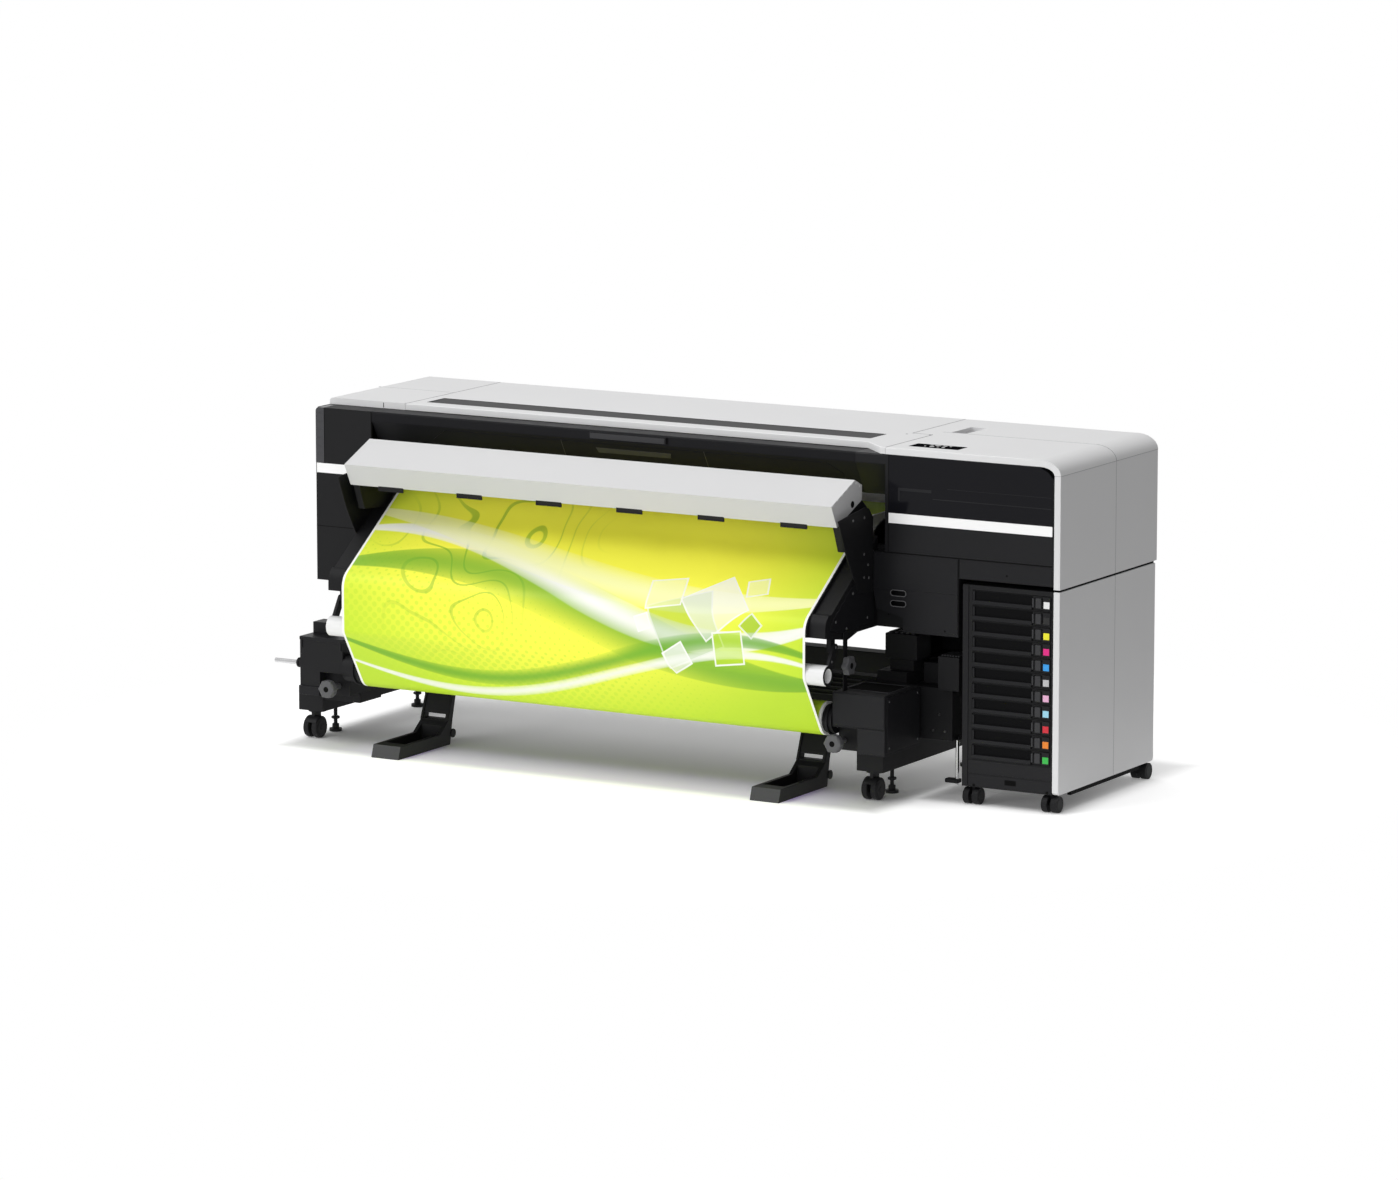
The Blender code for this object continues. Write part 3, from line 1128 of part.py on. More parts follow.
def cabinet_casters():
    """Small swivel casters under the cabinet, each with its wheels as one piece."""
    top = CABINET_BOTTOM - SEAT
    inset = CABINET_CASTER_INSET
    ends = (("front", inset, -1), ("rear", CABINET_BACK - inset, 1))
    for side, x in (("left", CABINET_LEFT + inset), ("right", BODY_WIDTH - inset)):
        for end, y, outward in ends:
            axle_y = y + outward * CABINET_CASTER_TRAIL
            wheels = wheel_pair(x, axle_y, CABINET_WHEEL_RADIUS, CABINET_CASTER_WIDTH,
                                CABINET_CASTER_SLOT, AXLE_RADIUS)
            caster = part(wheels, f"cabinet_caster_{end}_{side}", BLACK, 0.6, pivot=(x, y, top))
            reach = sorted((axle_y, y - outward * FORK_REACH))
            change(caster, [
                box(spread(x, CABINET_CASTER_SLOT + EMBED), reach,
                    (CABINET_WHEEL_RADIUS - FORK_REACH / 2, top - EMBED)),
                rod("Z", (x, y), top - PLATE_HEIGHT, top, FORK_REACH),
            ], "UNION")


def roll_rests():
    """Loose cradles on the floor, with a shallow bed and a slotted back."""
    back_top = REST_BACK + REST_LEAN
    side = [
        (REST_FRONT, 0.0), (REST_BACK, 0.0), (REST_BACK + REST_WALL, REST_ELBOW_Z),
        (back_top + REST_WALL, REST_HEIGHT), (back_top, REST_HEIGHT), (REST_BACK - REST_WALL, REST_ELBOW_Z),
        (REST_BACK - REST_ELBOW, REST_TIP_HEIGHT), (REST_FRONT + REST_WALL, REST_TIP_HEIGHT),
    ]
    places = {"roll_rest_left": MEDIA_LEFT + REST_LEFT_INSET,
              "roll_rest_right": MEDIA_RIGHT - REST_RIGHT_INSET}
    for name, left in places.items():
        right = left + REST_WIDTH
        rest = part(prism("X", side, left, right), name, BLACK, 0.5)
        change(rest, [
            box((left + REST_WALL, right - REST_WALL),
                (REST_FRONT + REST_ELBOW, REST_BACK - REST_ELBOW / 2), (REST_FLOOR, REST_ELBOW_Z)),
            box(spread((left + right) / 2, REST_SLOT_WIDTH),
                (REST_BACK - REST_WALL - EMBED, back_top + REST_WALL),
                spread(REST_SLOT_Z, REST_SLOT_HEIGHT)),
        ], "DIFFERENCE")


def main():
    base_frame()
    top_covers()
    front_cover()
    left_end_cover()
    right_front_panel()
    side_and_rear()
    platen()
    feed_roller()
    after_heater()
    dancer_bar()
    dryer_hood()
    hood_arms()
    carriage_and_rail()
    media_web()
    supply_roll()
    take_up_unit()
    stand()
    casters()
    levelling_feet()
    ink_cabinet()
    cabinet_casters()
    roll_rests()
    bpy.context.view_layer.update()


main()
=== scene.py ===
import json
import math

import bmesh
import bpy
from mathutils import Matrix, Vector

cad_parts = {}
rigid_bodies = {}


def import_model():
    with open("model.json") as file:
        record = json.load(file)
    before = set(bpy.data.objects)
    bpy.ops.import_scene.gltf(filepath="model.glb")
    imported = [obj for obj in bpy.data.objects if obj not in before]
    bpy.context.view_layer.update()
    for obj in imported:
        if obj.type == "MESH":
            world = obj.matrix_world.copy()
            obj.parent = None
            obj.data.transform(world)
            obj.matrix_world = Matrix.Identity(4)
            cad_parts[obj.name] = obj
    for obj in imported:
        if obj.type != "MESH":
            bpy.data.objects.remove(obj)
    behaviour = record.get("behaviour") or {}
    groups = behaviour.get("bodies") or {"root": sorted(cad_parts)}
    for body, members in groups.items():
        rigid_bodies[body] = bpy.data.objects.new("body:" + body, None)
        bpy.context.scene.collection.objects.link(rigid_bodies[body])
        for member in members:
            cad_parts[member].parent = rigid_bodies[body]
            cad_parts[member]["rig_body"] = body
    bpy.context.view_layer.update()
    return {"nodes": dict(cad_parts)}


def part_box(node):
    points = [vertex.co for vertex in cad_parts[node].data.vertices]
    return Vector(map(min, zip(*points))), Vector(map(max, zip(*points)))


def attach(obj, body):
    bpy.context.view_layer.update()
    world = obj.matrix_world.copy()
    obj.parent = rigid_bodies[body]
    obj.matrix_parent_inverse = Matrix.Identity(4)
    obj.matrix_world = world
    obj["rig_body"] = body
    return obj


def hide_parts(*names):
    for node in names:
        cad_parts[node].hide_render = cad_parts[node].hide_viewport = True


for old in list(bpy.data.objects):
    bpy.data.objects.remove(old, do_unlink=True)

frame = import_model()
bodyLeft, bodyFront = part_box("left_end_cover")[0].xy  # all sizes below count from this corner
print("frame loaded", len(frame["nodes"]), "nodes")


def at(x, y, z):
    return Vector((x + bodyLeft, y + bodyFront, z))


def linkObject(name, data):
    made = bpy.data.objects.new(name, data)
    bpy.context.scene.collection.objects.link(made)
    return made


# Node helpers
def wire(tree, node, inputs):
    for label, value in inputs.items():
        if isinstance(value, bpy.types.NodeSocket):
            tree.links.new(value, node.inputs[label])
        else:
            node.inputs[label].default_value = value
    return node


def addNode(tree, kind, inputs, **settings):
    made = tree.nodes.new(kind)
    for label, value in settings.items():
        setattr(made, label, value)
    return wire(tree, made, inputs)


def calc(operation, *values):
    tree = next(value.id_data for value in values if isinstance(value, bpy.types.NodeSocket))
    return addNode(tree, "ShaderNodeMath", dict(enumerate(values)), operation=operation).outputs[0]


def plus(a, b):
    return calc("ADD", a, b)


def minus(a, b):
    return calc("SUBTRACT", a, b)


def times(a, b):
    return calc("MULTIPLY", a, b)


def ramp(value, low, high, bottom=0.0, top=1.0, kind="SMOOTHSTEP"):
    limits = {"Value": value, "From Min": low, "From Max": high, "To Min": bottom, "To Max": top}
    return addNode(value.id_data, "ShaderNodeMapRange", limits, interpolation_type=kind).outputs[0]


def mix(share, under, over):
    inks = [ink if isinstance(ink, bpy.types.NodeSocket) else (*ink, 1.0) for ink in (under, over)]
    inputs = {"Fac": share, "Color1": inks[0], "Color2": inks[1]}
    return addNode(share.id_data, "ShaderNodeMixRGB", inputs).outputs[0]


def placeIn(tree, space):
    spot = addNode(tree, "ShaderNodeTexCoord", {}).outputs[space]
    return spot, addNode(tree, "ShaderNodeSeparateXYZ", {0: spot}).outputs


def newMaterial(name):
    made = bpy.data.materials.new(name)
    made.use_nodes = True
    return made, made.node_tree, made.node_tree.nodes["Principled BSDF"]


# Studio: white floor, soft light and the photo's camera
studio = {
    "cameraPlace": (11.2837, -17.1860, 3.9122), "cameraTurn": (90 - 9.5685, 0.0, 29.9577), "lens": 171.25,
    "floorRadius": 5.0, "floorFade": (2.2, 1.40), "floorColour": (0.95, 0.95, 0.95, 1.0), "floorGlow": 0.16,
    # painted shadow: inside these beds the floor loses most of its glow, so it is painted darker under the
    # machine
    "paintedShadowBeds": (((-0.21, 1.06), (0.035, 0.565)), ((1.10, 0.25), (0.16, 0.44))),  # middle and half, x and y
    "paintedShadowEdge": 0.05, "paintedShadowFade": (-0.30, 0.18), "rearGlow": 0.20, "glowBeyond": 0.45,
    # painted light: a tinted glow on the floor in front of the web
    "paintedBounceTint": {"colour": (0.05, 0.0, 0.15), "middle": -0.17, "half": (0.92, 0.72), "ahead": (-0.25, -0.48)},
    "skyPower": (0.80, 0.23),  # left, right
    "lamps": {  # place, aim, size, power
        "key": ((-2.0, -4.5, 7.0), (1.3, 0.0, 0.6), 4.5, 185),
        "top": ((1.6, 0.6, 6.5), (1.4, 0.3, 0.9), 5.0, 115),
        "frontFill": ((5.0, -9.0, 2.4), (1.2, -0.1, 0.5), 5.0, 175),
        "leftFill": ((-3.0, -9.0, 1.5), (1.0, -0.1, 0.6), 4.0, 180),
    },
}


def addCamera():
    camera = linkObject("photoCamera", bpy.data.cameras.new("photoCamera"))
    camera.location = at(*studio["cameraPlace"])
    camera.rotation_euler = [math.radians(a) for a in studio["cameraTurn"]]
    camera.data.lens = studio["lens"]
    camera.data.sensor_width = 36.0
    camera.data.clip_end = 200.0
    bpy.context.scene.camera = camera


def addLamps():
    for label, (place, aim, size, power) in studio["lamps"].items():
        lamp = bpy.data.lights.new(label, "AREA")
        lamp.shape = "DISK"
        lamp.size = size
        lamp.energy = power
        holder = linkObject(label, lamp)
        holder.location = at(*place)
        holder.visible_glossy = "Fill" not in label  # fills leave no disc in the glossy covers
        aim = at(*aim) - holder.location
        holder.rotation_euler = aim.to_track_quat("-Z", "Y").to_euler()


def lookedAt(tree):  # 1 for what the camera sees, also through glass
    path = addNode(tree, "ShaderNodeLightPath", {}).outputs
    return calc("MAXIMUM", path["Is Camera Ray"], path["Is Transmission Ray"])


def addSky():
    world = bpy.data.worlds.new("studioSky")
    bpy.context.scene.world = world
    world.use_nodes = True
    tree = world.node_tree
    sides = placeIn(tree, "Generated")[1]
    sweep = ramp(sides["X"], -1.0, 1.0, *studio["skyPower"], "LINEAR")  # brighter from the left
    power = ramp(lookedAt(tree), 0.0, 1.0, sweep, 1.0, "LINEAR")
    wire(tree, tree.nodes["Background"], {"Strength": power, "Color": (1.0, 1.0, 1.0, 1.0)})


def addFloor():
    s = studio
    shape = bmesh.new()
    bmesh.ops.create_circle(shape, cap_ends=True, segments=96, radius=s["floorRadius"])
    mesh = bpy.data.meshes.new("studioFloor")
    shape.to_mesh(mesh)
    shape.free()
    paint, tree, shader = newMaterial("floorPaint")
    mesh.materials.append(paint)
    spot, sides = placeIn(tree, "Object")

    def past(axis, middle, reach):  # how far a point lies beyond a reach either way
        return minus(calc("ABSOLUTE", minus(sides[axis], middle)), reach)

    beds = [calc("MAXIMUM", past("X", *x), past("Y", *y)) for x, y in s["paintedShadowBeds"]]
    # painted shadow: the floor glows less inside the beds than beyond them
    inPaintedShadow = ramp(calc("MINIMUM", *beds), s["paintedShadowEdge"], -s["paintedShadowEdge"])
    tint = s["paintedBounceTint"]  # painted glow that evens out the green light the web bounces onto the floor
    away = past("X", tint["middle"], 0.0)
    below = times(ramp(away, *tint["half"], kind="LINEAR"), ramp(sides["Y"], *tint["ahead"], kind="LINEAR"))
    rear = ramp(sides["Y"], *s["paintedShadowFade"], 0.0, s["rearGlow"], "LINEAR")  # painted shadow: the floor's glow is least under the body's front
    glow = mix(inPaintedShadow, [s["glowBeyond"]] * 3, mix(below, rear, tint["colour"]))
    glow = mix(lookedAt(tree), [s["floorGlow"]] * 3, glow)  # the machine itself gets no more light
    far = addNode(tree, "ShaderNodeVectorMath", {0: spot}, operation="LENGTH").outputs["Value"]
    fade = ramp(far, *s["floorFade"])  # solid round the machine, clear into the white beyond
    wire(tree, shader, {"Base Color": s["floorColour"], "Roughness": 0.9, "Specular IOR Level": 0.0,
                        "Emission Strength": 1.0, "Emission Color": glow, "Alpha": fade})
    linkObject("studioFloor", mesh)


bpy.context.scene.view_settings.view_transform = "Standard"
addCamera()
addLamps()
addSky()
addFloor()
print("studio ready")


# Finishes: colour, roughness, grain scale, bump, mottle, then shine and metal where they aren't plain
finishSpecs = {
    "whiteShell": ((0.72, 0.72, 0.725), 0.42, 900, 0.05, 0.02, 0.4),
    # painted shade: the hood's white is the shell white made darker, as the hood front catches more light
    "shadedHoodWhite": ((0.625, 0.625, 0.63), 0.4, 700, 0.04, 0.02, 0.4),
    "rimGrey": ((0.11, 0.11, 0.115), 0.35, 900, 0.03, 0.1),
    "paneSmoke": ((0.012, 0.012, 0.013), 0.3, 60, 0.002, 0.12, 0.05),
    # painted shade: the darkest black, for recesses and gaps where shade falls
    "recessShadeBlack": ((0.0045, 0.0045, 0.005), 0.6, 900, 0.05, 0.1, 0.06),
    "topSmoke": ((0.016, 0.016, 0.017), 0.3, 60, 0.002, 0.3, 0.03),
    "coverSmoke": ((0.012, 0.012, 0.0135), 0.4, 900, 0.04, 0.10, 0.08),
    "glimpse": ((0.020, 0.020, 0.022), 0.2, 300, 0.01, 0.3, 0.1),
    "whiteTube": ((0.80, 0.80, 0.80), 0.3, 500, 0.03, 0.02),
    "stripeWhite": ((0.96, 0.96, 0.96), 0.35, 700, 0.02, 0.01),
    "blackMoulded": ((0.010, 0.010, 0.011), 0.5, 1400, 0.10, 0.15, 0.22),
    "blackSatin": ((0.0105, 0.0105, 0.012), 0.38, 900, 0.04, 0.10, 0.22),
    "blackPowder": ((0.009, 0.009, 0.010), 0.55, 1100, 0.14, 0.18, 0.22),
    "smokedGloss": ((0.006, 0.006, 0.008), 0.08, 40, 0.002, 0.10, 0.18),
    "smokedPale": ((0.060, 0.060, 0.065), 0.12, 60, 0.003, 0.15, 0.3),
    "shellSeam": ((0.36, 0.36, 0.37), 0.7, 600, 0.05, 0.05),
    # painted shade: holes, vents and pockets are drawn as surfaces in this black; the dark seams, window rim
    # and a few screw heads use it as their own colour
    "holeShadeAndSeamBlack": ((0.004, 0.004, 0.004), 0.9, 600, 0.05, 0.10, 0.1),
    "knobGrey": ((0.095, 0.095, 0.10), 0.5, 900, 0.10, 0.08, 0.3),
    "tipGrey": ((0.055, 0.055, 0.058), 0.55, 900, 0.10, 0.08, 0.3),
    "edgeGrey": ((0.034, 0.034, 0.037), 0.4, 900, 0.05, 0.10, 0.3),
    "wheelRubber": ((0.009, 0.009, 0.010), 0.6, 800, 0.12, 0.2, 0.25),
    "rollerRubber": ((0.09, 0.09, 0.095), 0.65, 900, 0.10, 0.1),
    "chromeRod": ((0.75, 0.75, 0.76), 0.14, 300, 0.01, 0.03, 0.5, 1.0),
    "groundSteel": ((0.55, 0.55, 0.56), 0.3, 500, 0.04, 0.06, 0.5, 1.0),
    "platenMetal": ((0.42, 0.42, 0.43), 0.4, 400, 0.04, 0.06, 0.5, 1.0),
    "screwSteel": ((0.16, 0.16, 0.165), 0.35, 900, 0.03, 0.1, 0.5, 1.0),
    "plainVinyl": ((0.80, 0.80, 0.79), 0.35, 220, 0.02, 0.02),
    "paperCore": ((0.36, 0.25, 0.15), 0.85, 500, 0.15, 0.2),
    "screenGlass": ((0.004, 0.004, 0.005), 0.2, 60, 0.001, 0.1, 0.0),
}
chipColours = [
    (0.80, 0.80, 0.80), (0.012, 0.012, 0.012), (0.85, 0.80, 0.02), (0.75, 0.01, 0.22), (0.03, 0.33, 0.80),
    (0.50, 0.50, 0.51), (0.78, 0.42, 0.62), (0.32, 0.66, 0.82), (0.62, 0.012, 0.03), (0.80, 0.22, 0.015),
    (0.03, 0.45, 0.06),
]
finishes = {}


def makeFinish(name, colour, rough, grain, bump, mottle, shine=0.5, metal=0.0):
    made, tree, shader = newMaterial(name)
    place = addNode(tree, "ShaderNodeTexCoord", {}).outputs["Object"]
    slow = {"Vector": place, "Scale": 6.0, "Detail": 4.0}  # slow change of tone over the piece
    fine = {"Vector": place, "Scale": grain, "Detail": 2.0}  # moulded or sprayed grain
    cloud, speck = [addNode(tree, "ShaderNodeTexNoise", inputs).outputs["Fac"] for inputs in (slow, fine)]
    relief = addNode(tree, "ShaderNodeBump", {"Height": speck, "Strength": bump, "Distance": 0.0005})
    dark, light = [[min(1.0, c * (1 + share)) for c in colour] for share in (-mottle, mottle)]
    gloss = ramp(cloud, 0.0, 1.0, max(0.02, rough * 0.85), min(1.0, rough * 1.15), "LINEAR")
    wire(tree, shader, {"Base Color": mix(cloud, dark, light), "Roughness": gloss, "Metallic": metal,
                        "Normal": relief.outputs[0], "Specular IOR Level": shine})
    finishes[name] = made


for label, spec in finishSpecs.items():
    makeFinish(label, *spec)
for count, colour in enumerate(chipColours):
    makeFinish(f"chip{count + 1:02d}", colour, 0.35, 600, 0.02, 0.03)
print("finishes ready", len(finishes))


# Mesh helpers
turns = {
    "X": Matrix.Rotation(math.pi / 2, 4, "Y"),
    "Y": Matrix.Rotation(-math.pi / 2, 4, "X"),
    "Z": Matrix.Identity(4),
}


def along(axis, low, a, b):  # a place low along the axis, and a, b on the other two
    return at(*{"X": (low, a, b), "Y": (a, low, b), "Z": (a, b, low)}[axis])


def span(middle, half):
    return middle - half, middle + half


def outward(face, sign, proud, deep):  # a span that stands proud of a face on its outer side
    return sorted((face + sign * proud, face - sign * deep))


def arc(centre, radius, start, stop, steps):
    wide, tall = radius if isinstance(radius, tuple) else (radius, radius)
    angles = [math.radians(start + (stop - start) * i / steps) for i in range(steps + 1)]
    return [(centre[0] + wide * math.cos(a), centre[1] + tall * math.sin(a)) for a in angles]


def addBlock(shape, x, y, z):
    middle = at(*[(low + high) / 2 for low, high in (x, y, z)])
    spread = Matrix.Diagonal([abs(high - low) for low, high in (x, y, z)] + [1.0])
    bmesh.ops.create_cube(shape, size=1.0, matrix=Matrix.Translation(middle) @ spread)


def addRod(shape, axis, centre, low, high, radius, sides=32):
    place = Matrix.Translation(along(axis, (low + high) / 2, *centre)) @ turns[axis]
    bmesh.ops.create_cone(shape, cap_ends=True, segments=sides, radius1=radius, radius2=radius,
                          depth=high - low, matrix=place)


def joinRows(shape, rows, ring=False):  # two rows are capped, a ring of rows closes on itself
    rows = [[shape.verts.new(point) for point in row] for row in rows]
    faces = [] if ring else [shape.faces.new(rows[0]), shape.faces.new(rows[1][::-1])]
    for one, two in zip(rows, rows[1:] + rows[:1] if ring else rows[1:]):
        for i in range(len(one)):
            j = (i + 1) % len(one)
            faces.append(shape.faces.new((one[i], two[i], two[j], one[j])))
    bmesh.ops.recalc_face_normals(shape, faces=faces)


def addPrism(shape, axis, outline, low, high):
    joinRows(shape, [[along(axis, end, a, b) for a, b in outline] for end in (low, high)])


def addRing(shape, axis, inner, outer, low, high):
    edges = ((inner, low), (inner, high), (outer, high), (outer, low))
    joinRows(shape, [[along(axis, end, a, b) for a, b in outline] for outline, end in edges], ring=True)


def bevelEdges(shape, edges, width, steps):
    bmesh.ops.bevel(shape, geom=edges, offset=width, offset_type="OFFSET", segments=steps, profile=0.5,
                    affect="EDGES")


def settle(piece):
    graph = bpy.context.evaluated_depsgraph_get()
    mesh = bpy.data.meshes.new_from_object(piece.evaluated_get(graph))
    piece.modifiers.clear()
    piece.data = mesh
    return mesh


def roundEdges(piece, width, steps, angle):
    if width > 0:
        edge = piece.modifiers.new("roundEdges", "BEVEL")
        edge.width = width
        edge.segments = steps
        edge.limit_method = "ANGLE"
        edge.angle_limit = math.radians(angle)
        edge.miter_outer = "MITER_ARC"
        settle(piece)
    piece.data.shade_smooth()
    piece.data.set_sharp_from_angle(angle=math.radians(angle))
    if width > 0:
        even = piece.modifiers.new("evenShade", "WEIGHTED_NORMAL")  # flat faces stay flat beside round edges
        even.keep_sharp = True
        settle(piece)


def bodyOf(node):
    return frame["nodes"][node]["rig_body"]


def addPiece(name, shape, finish, body="frame", edge=0.0, steps=2, angle=30, other=None, rule=None):
    mesh = bpy.data.meshes.new(name)
    shape.to_mesh(mesh)
    shape.free()
    made = linkObject(name, mesh)
    mesh.materials.clear()
    for label in (finish, other) if other else (finish,):
        mesh.materials.append(finishes[label])
    for face in mesh.polygons:  # the rule gives some faces the other finish by their place
        face.material_index = int(rule(face.center - at(0.0, 0.0, 0.0), face.normal)) if rule else 0
    roundEdges(made, edge, steps, angle)
    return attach(made, body)


def makePiece(name, finish, parts, body="frame", edge=0.0, steps=2, angle=30):
    shape = bmesh.new()
    for part in parts:
        if callable(part[0]):  # a rod, prism or ring with its sizes
            part[0](shape, *part[1:])
        else:  # a block is its three spans
            addBlock(shape, *part)
    return addPiece(name, shape, finish, body, edge, steps, angle)


def dress(node, finish, edge=0.0012, steps=2, reshape=None, merge=True, other=None, rule=None):
    shape = bmesh.new()
    shape.from_mesh(frame["nodes"][node].data)
    bmesh.ops.remove_doubles(shape, verts=shape.verts, dist=0.00002)
    if merge:
        bmesh.ops.dissolve_limit(shape, angle_limit=math.radians(0.4), verts=shape.verts, edges=shape.edges)
    if reshape:
        reshape(shape)
    made = addPiece(node + "Dressed", shape, finish, bodyOf(node), edge, steps, other=other, rule=rule)
    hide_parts(node)


# Geometry Nodes: screw heads on marked points, and rows of slots or ribs
def newTree(name, sizes):
    tree = bpy.data.node_groups.new(name, "GeometryNodeTree")
    for way in ("INPUT", "OUTPUT"):
        tree.interface.new_socket("Geometry", in_out=way, socket_type="NodeSocketGeometry")
    for label, value in sizes.items():
        kind = "NodeSocketInt" if isinstance(value, int) else "NodeSocketFloat"
        tree.interface.new_socket(label, in_out="INPUT", socket_type=kind).default_value = value
    tree.interface.new_socket("Finish", in_out="INPUT", socket_type="NodeSocketMaterial")
    return tree, tree.nodes.new("NodeGroupInput").outputs


def finishTree(tree, given, points, shape, **more):
    spread = addNode(tree, "GeometryNodeInstanceOnPoints", {"Points": points, "Instance": shape, **more})
    real = addNode(tree, "GeometryNodeRealizeInstances", {0: spread.outputs[0]}).outputs[0]
    paint = addNode(tree, "GeometryNodeSetMaterial", {"Geometry": real, "Material": given["Finish"]})
    addNode(tree, "NodeGroupOutput", {0: paint.outputs[0]})
    return tree


def screwTree():
    tree, given = newTree("screwHeads", {"Radius": 0.0035, "Height": 0.0016})

    def cone(vertices, bottom, top, tall):
        sizes = {"Vertices": vertices, "Radius Bottom": times(given["Radius"], bottom),
                 "Radius Top": times(given["Radius"], top), "Depth": times(given["Height"], tall)}
        return addNode(tree, "GeometryNodeMeshCone", sizes).outputs["Mesh"]

    both = addNode(tree, "GeometryNodeJoinGeometry", {0: cone(20, 1.0, 0.72, 1.0)})
    wire(tree, both, {0: cone(6, 0.4, 0.4, 1.12)})  # raised hexagon that reads as the drive
    facing = addNode(tree, "GeometryNodeInputNamedAttribute", {"Name": "facing"}, data_type="FLOAT_VECTOR")
    turn = addNode(tree, "FunctionNodeAlignRotationToVector", {"Vector": facing.outputs["Attribute"]})
    return finishTree(tree, given, given["Geometry"], both.outputs[0], Rotation=turn.outputs[0])


def rowTree():
    tree, given = newTree("slotRow", {"Count": 8, "Pitch": 0.02, "Long": 0.06, "Tall": 0.006, "Deep": 0.001})
    step = addNode(tree, "ShaderNodeCombineXYZ", {"Z": given["Pitch"]})
    line = addNode(tree, "GeometryNodeMeshLine", {"Count": given["Count"], "Offset": step.outputs[0]})
    sides = {"X": given["Long"], "Y": given["Deep"], "Z": given["Tall"]}
    sizes = addNode(tree, "ShaderNodeCombineXYZ", sides)
    bar = addNode(tree, "GeometryNodeMeshCube", {"Size": sizes.outputs[0]})
    return finishTree(tree, given, line.outputs[0], bar.outputs["Mesh"])


screwHeads = screwTree()
slotRow = rowTree()


def growNodes(piece, tree, values):
    grown = piece.modifiers.new("grown", "NODES")
    grown.node_group = tree
    sockets = {s.name: s.identifier for s in tree.interface.items_tree if s.in_out == "INPUT"}
    for label, value in values.items():
        grown[sockets[label]] = value
    return settle(piece)


def addScrews(name, marks, body="frame", radius=0.0035, height=0.0016, finish="screwSteel"):
    mesh = bpy.data.meshes.new(name)
    mesh.from_pydata([at(*place) for place, facing in marks], [], [])
    store = mesh.attributes.new("facing", "FLOAT_VECTOR", "POINT")
    store.data.foreach_set("vector", [c for place, facing in marks for c in facing])
    made = linkObject(name, mesh)
    growNodes(made, screwHeads, {"Radius": radius, "Height": height, "Finish": finishes[finish]})
    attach(made, body)


slotRows = {  # start, turn, finish, then count, pitch, length, height and depth of the slots
    "lensRibs": ((0.0165, -0.0008, 0.884), 0, "edgeGrey", 6, 0.026, 0.022, 0.0012, 0.0006),
    # painted shade: these vents are black bars on the surface instead of openings
    "leftVents": ((-0.0002, 0.46, 0.70), 90, "holeShadeAndSeamBlack", 9, 0.016, 0.13, 0.006, 0.0016),
    "rearVents1": ((0.62, 0.6452, 0.905), 0, "holeShadeAndSeamBlack", 7, 0.013, 0.30, 0.005, 0.0016),
    "rearVents2": ((1.24, 0.6452, 0.905), 0, "holeShadeAndSeamBlack", 7, 0.013, 0.30, 0.005, 0.0016),
    "rearVents3": ((1.86, 0.6452, 0.905), 0, "holeShadeAndSeamBlack", 7, 0.013, 0.30, 0.005, 0.0016),
    "rearRightVents": ((2.28, 0.6452, 0.74), 0, "holeShadeAndSeamBlack", 10, 0.014, 0.24, 0.005, 0.0016),
    "railHoles": ((1.78, 0.0335, 0.282), 0, "edgeGrey", 5, 0.013, 0.28, 0.004, 0.0036),
    "cabinetVents": ((2.43, 0.6352, 0.30), 0, "holeShadeAndSeamBlack", 12, 0.016, 0.20, 0.005, 0.0016),
}


def addSlots(name):
    start, turn, finish, *sizes = slotRows[name]
    made = linkObject(name, bpy.data.meshes.new(name))
    values = dict(zip(("Count", "Pitch", "Long", "Tall", "Deep"), sizes))
    mesh = growNodes(made, slotRow, {**values, "Finish": finishes[finish]})
    mesh.transform(Matrix.Translation(at(*start)) @ Matrix.Rotation(math.radians(turn), 4, "Z"))
    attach(made, "frame")


front, back, left, right, up = (0, -1, 0), (0, 1, 0), (-1, 0, 0), (1, 0, 0), (0, 0, 1)

# Main shells
shell = {
    "width": 2.600, "top": 1.0515, "lip": 1.031, "seamY": 0.364, "seamHalf": 0.0008, "proud": 0.0003,
    "sunk": 0.001, "cornerRun": 0.068, "cornerDrop": 0.0445, "stripe": (0.826, 0.856), "sideLow": 0.6695,
    "sideLine": (1.0062, 1.0074), "jointX": (0.280, 1.947, 2.016), "jointY": 0.300, "rear": 0.642,
    "grip": ((2.0445, 2.0935), (0.3715, 0.4985), (1.0392, 1.0402)),
    "leftSeam": ((0.0, 0.2795), (0.3632, 0.3646)),
    "holes": [(0.315, 1.895, 0.135, 0.248), (2.058, 2.234, 0.051, 0.125), (2.039, 2.099, 0.366, 0.504)],
}


def overCorner(grow):  # section of the right cover's skin, from its joint over the corner and down the side
    run, drop = shell["cornerRun"], shell["cornerDrop"]
    hub = (shell["width"] - run, shell["top"] - drop)
    ends = [(2.0165, shell["top"] + grow), (shell["width"] + grow, shell["sideLow"])]
    return ends[:1] + arc(hub, (run + grow, drop + grow), 90, 0, 16) + ends[1:]


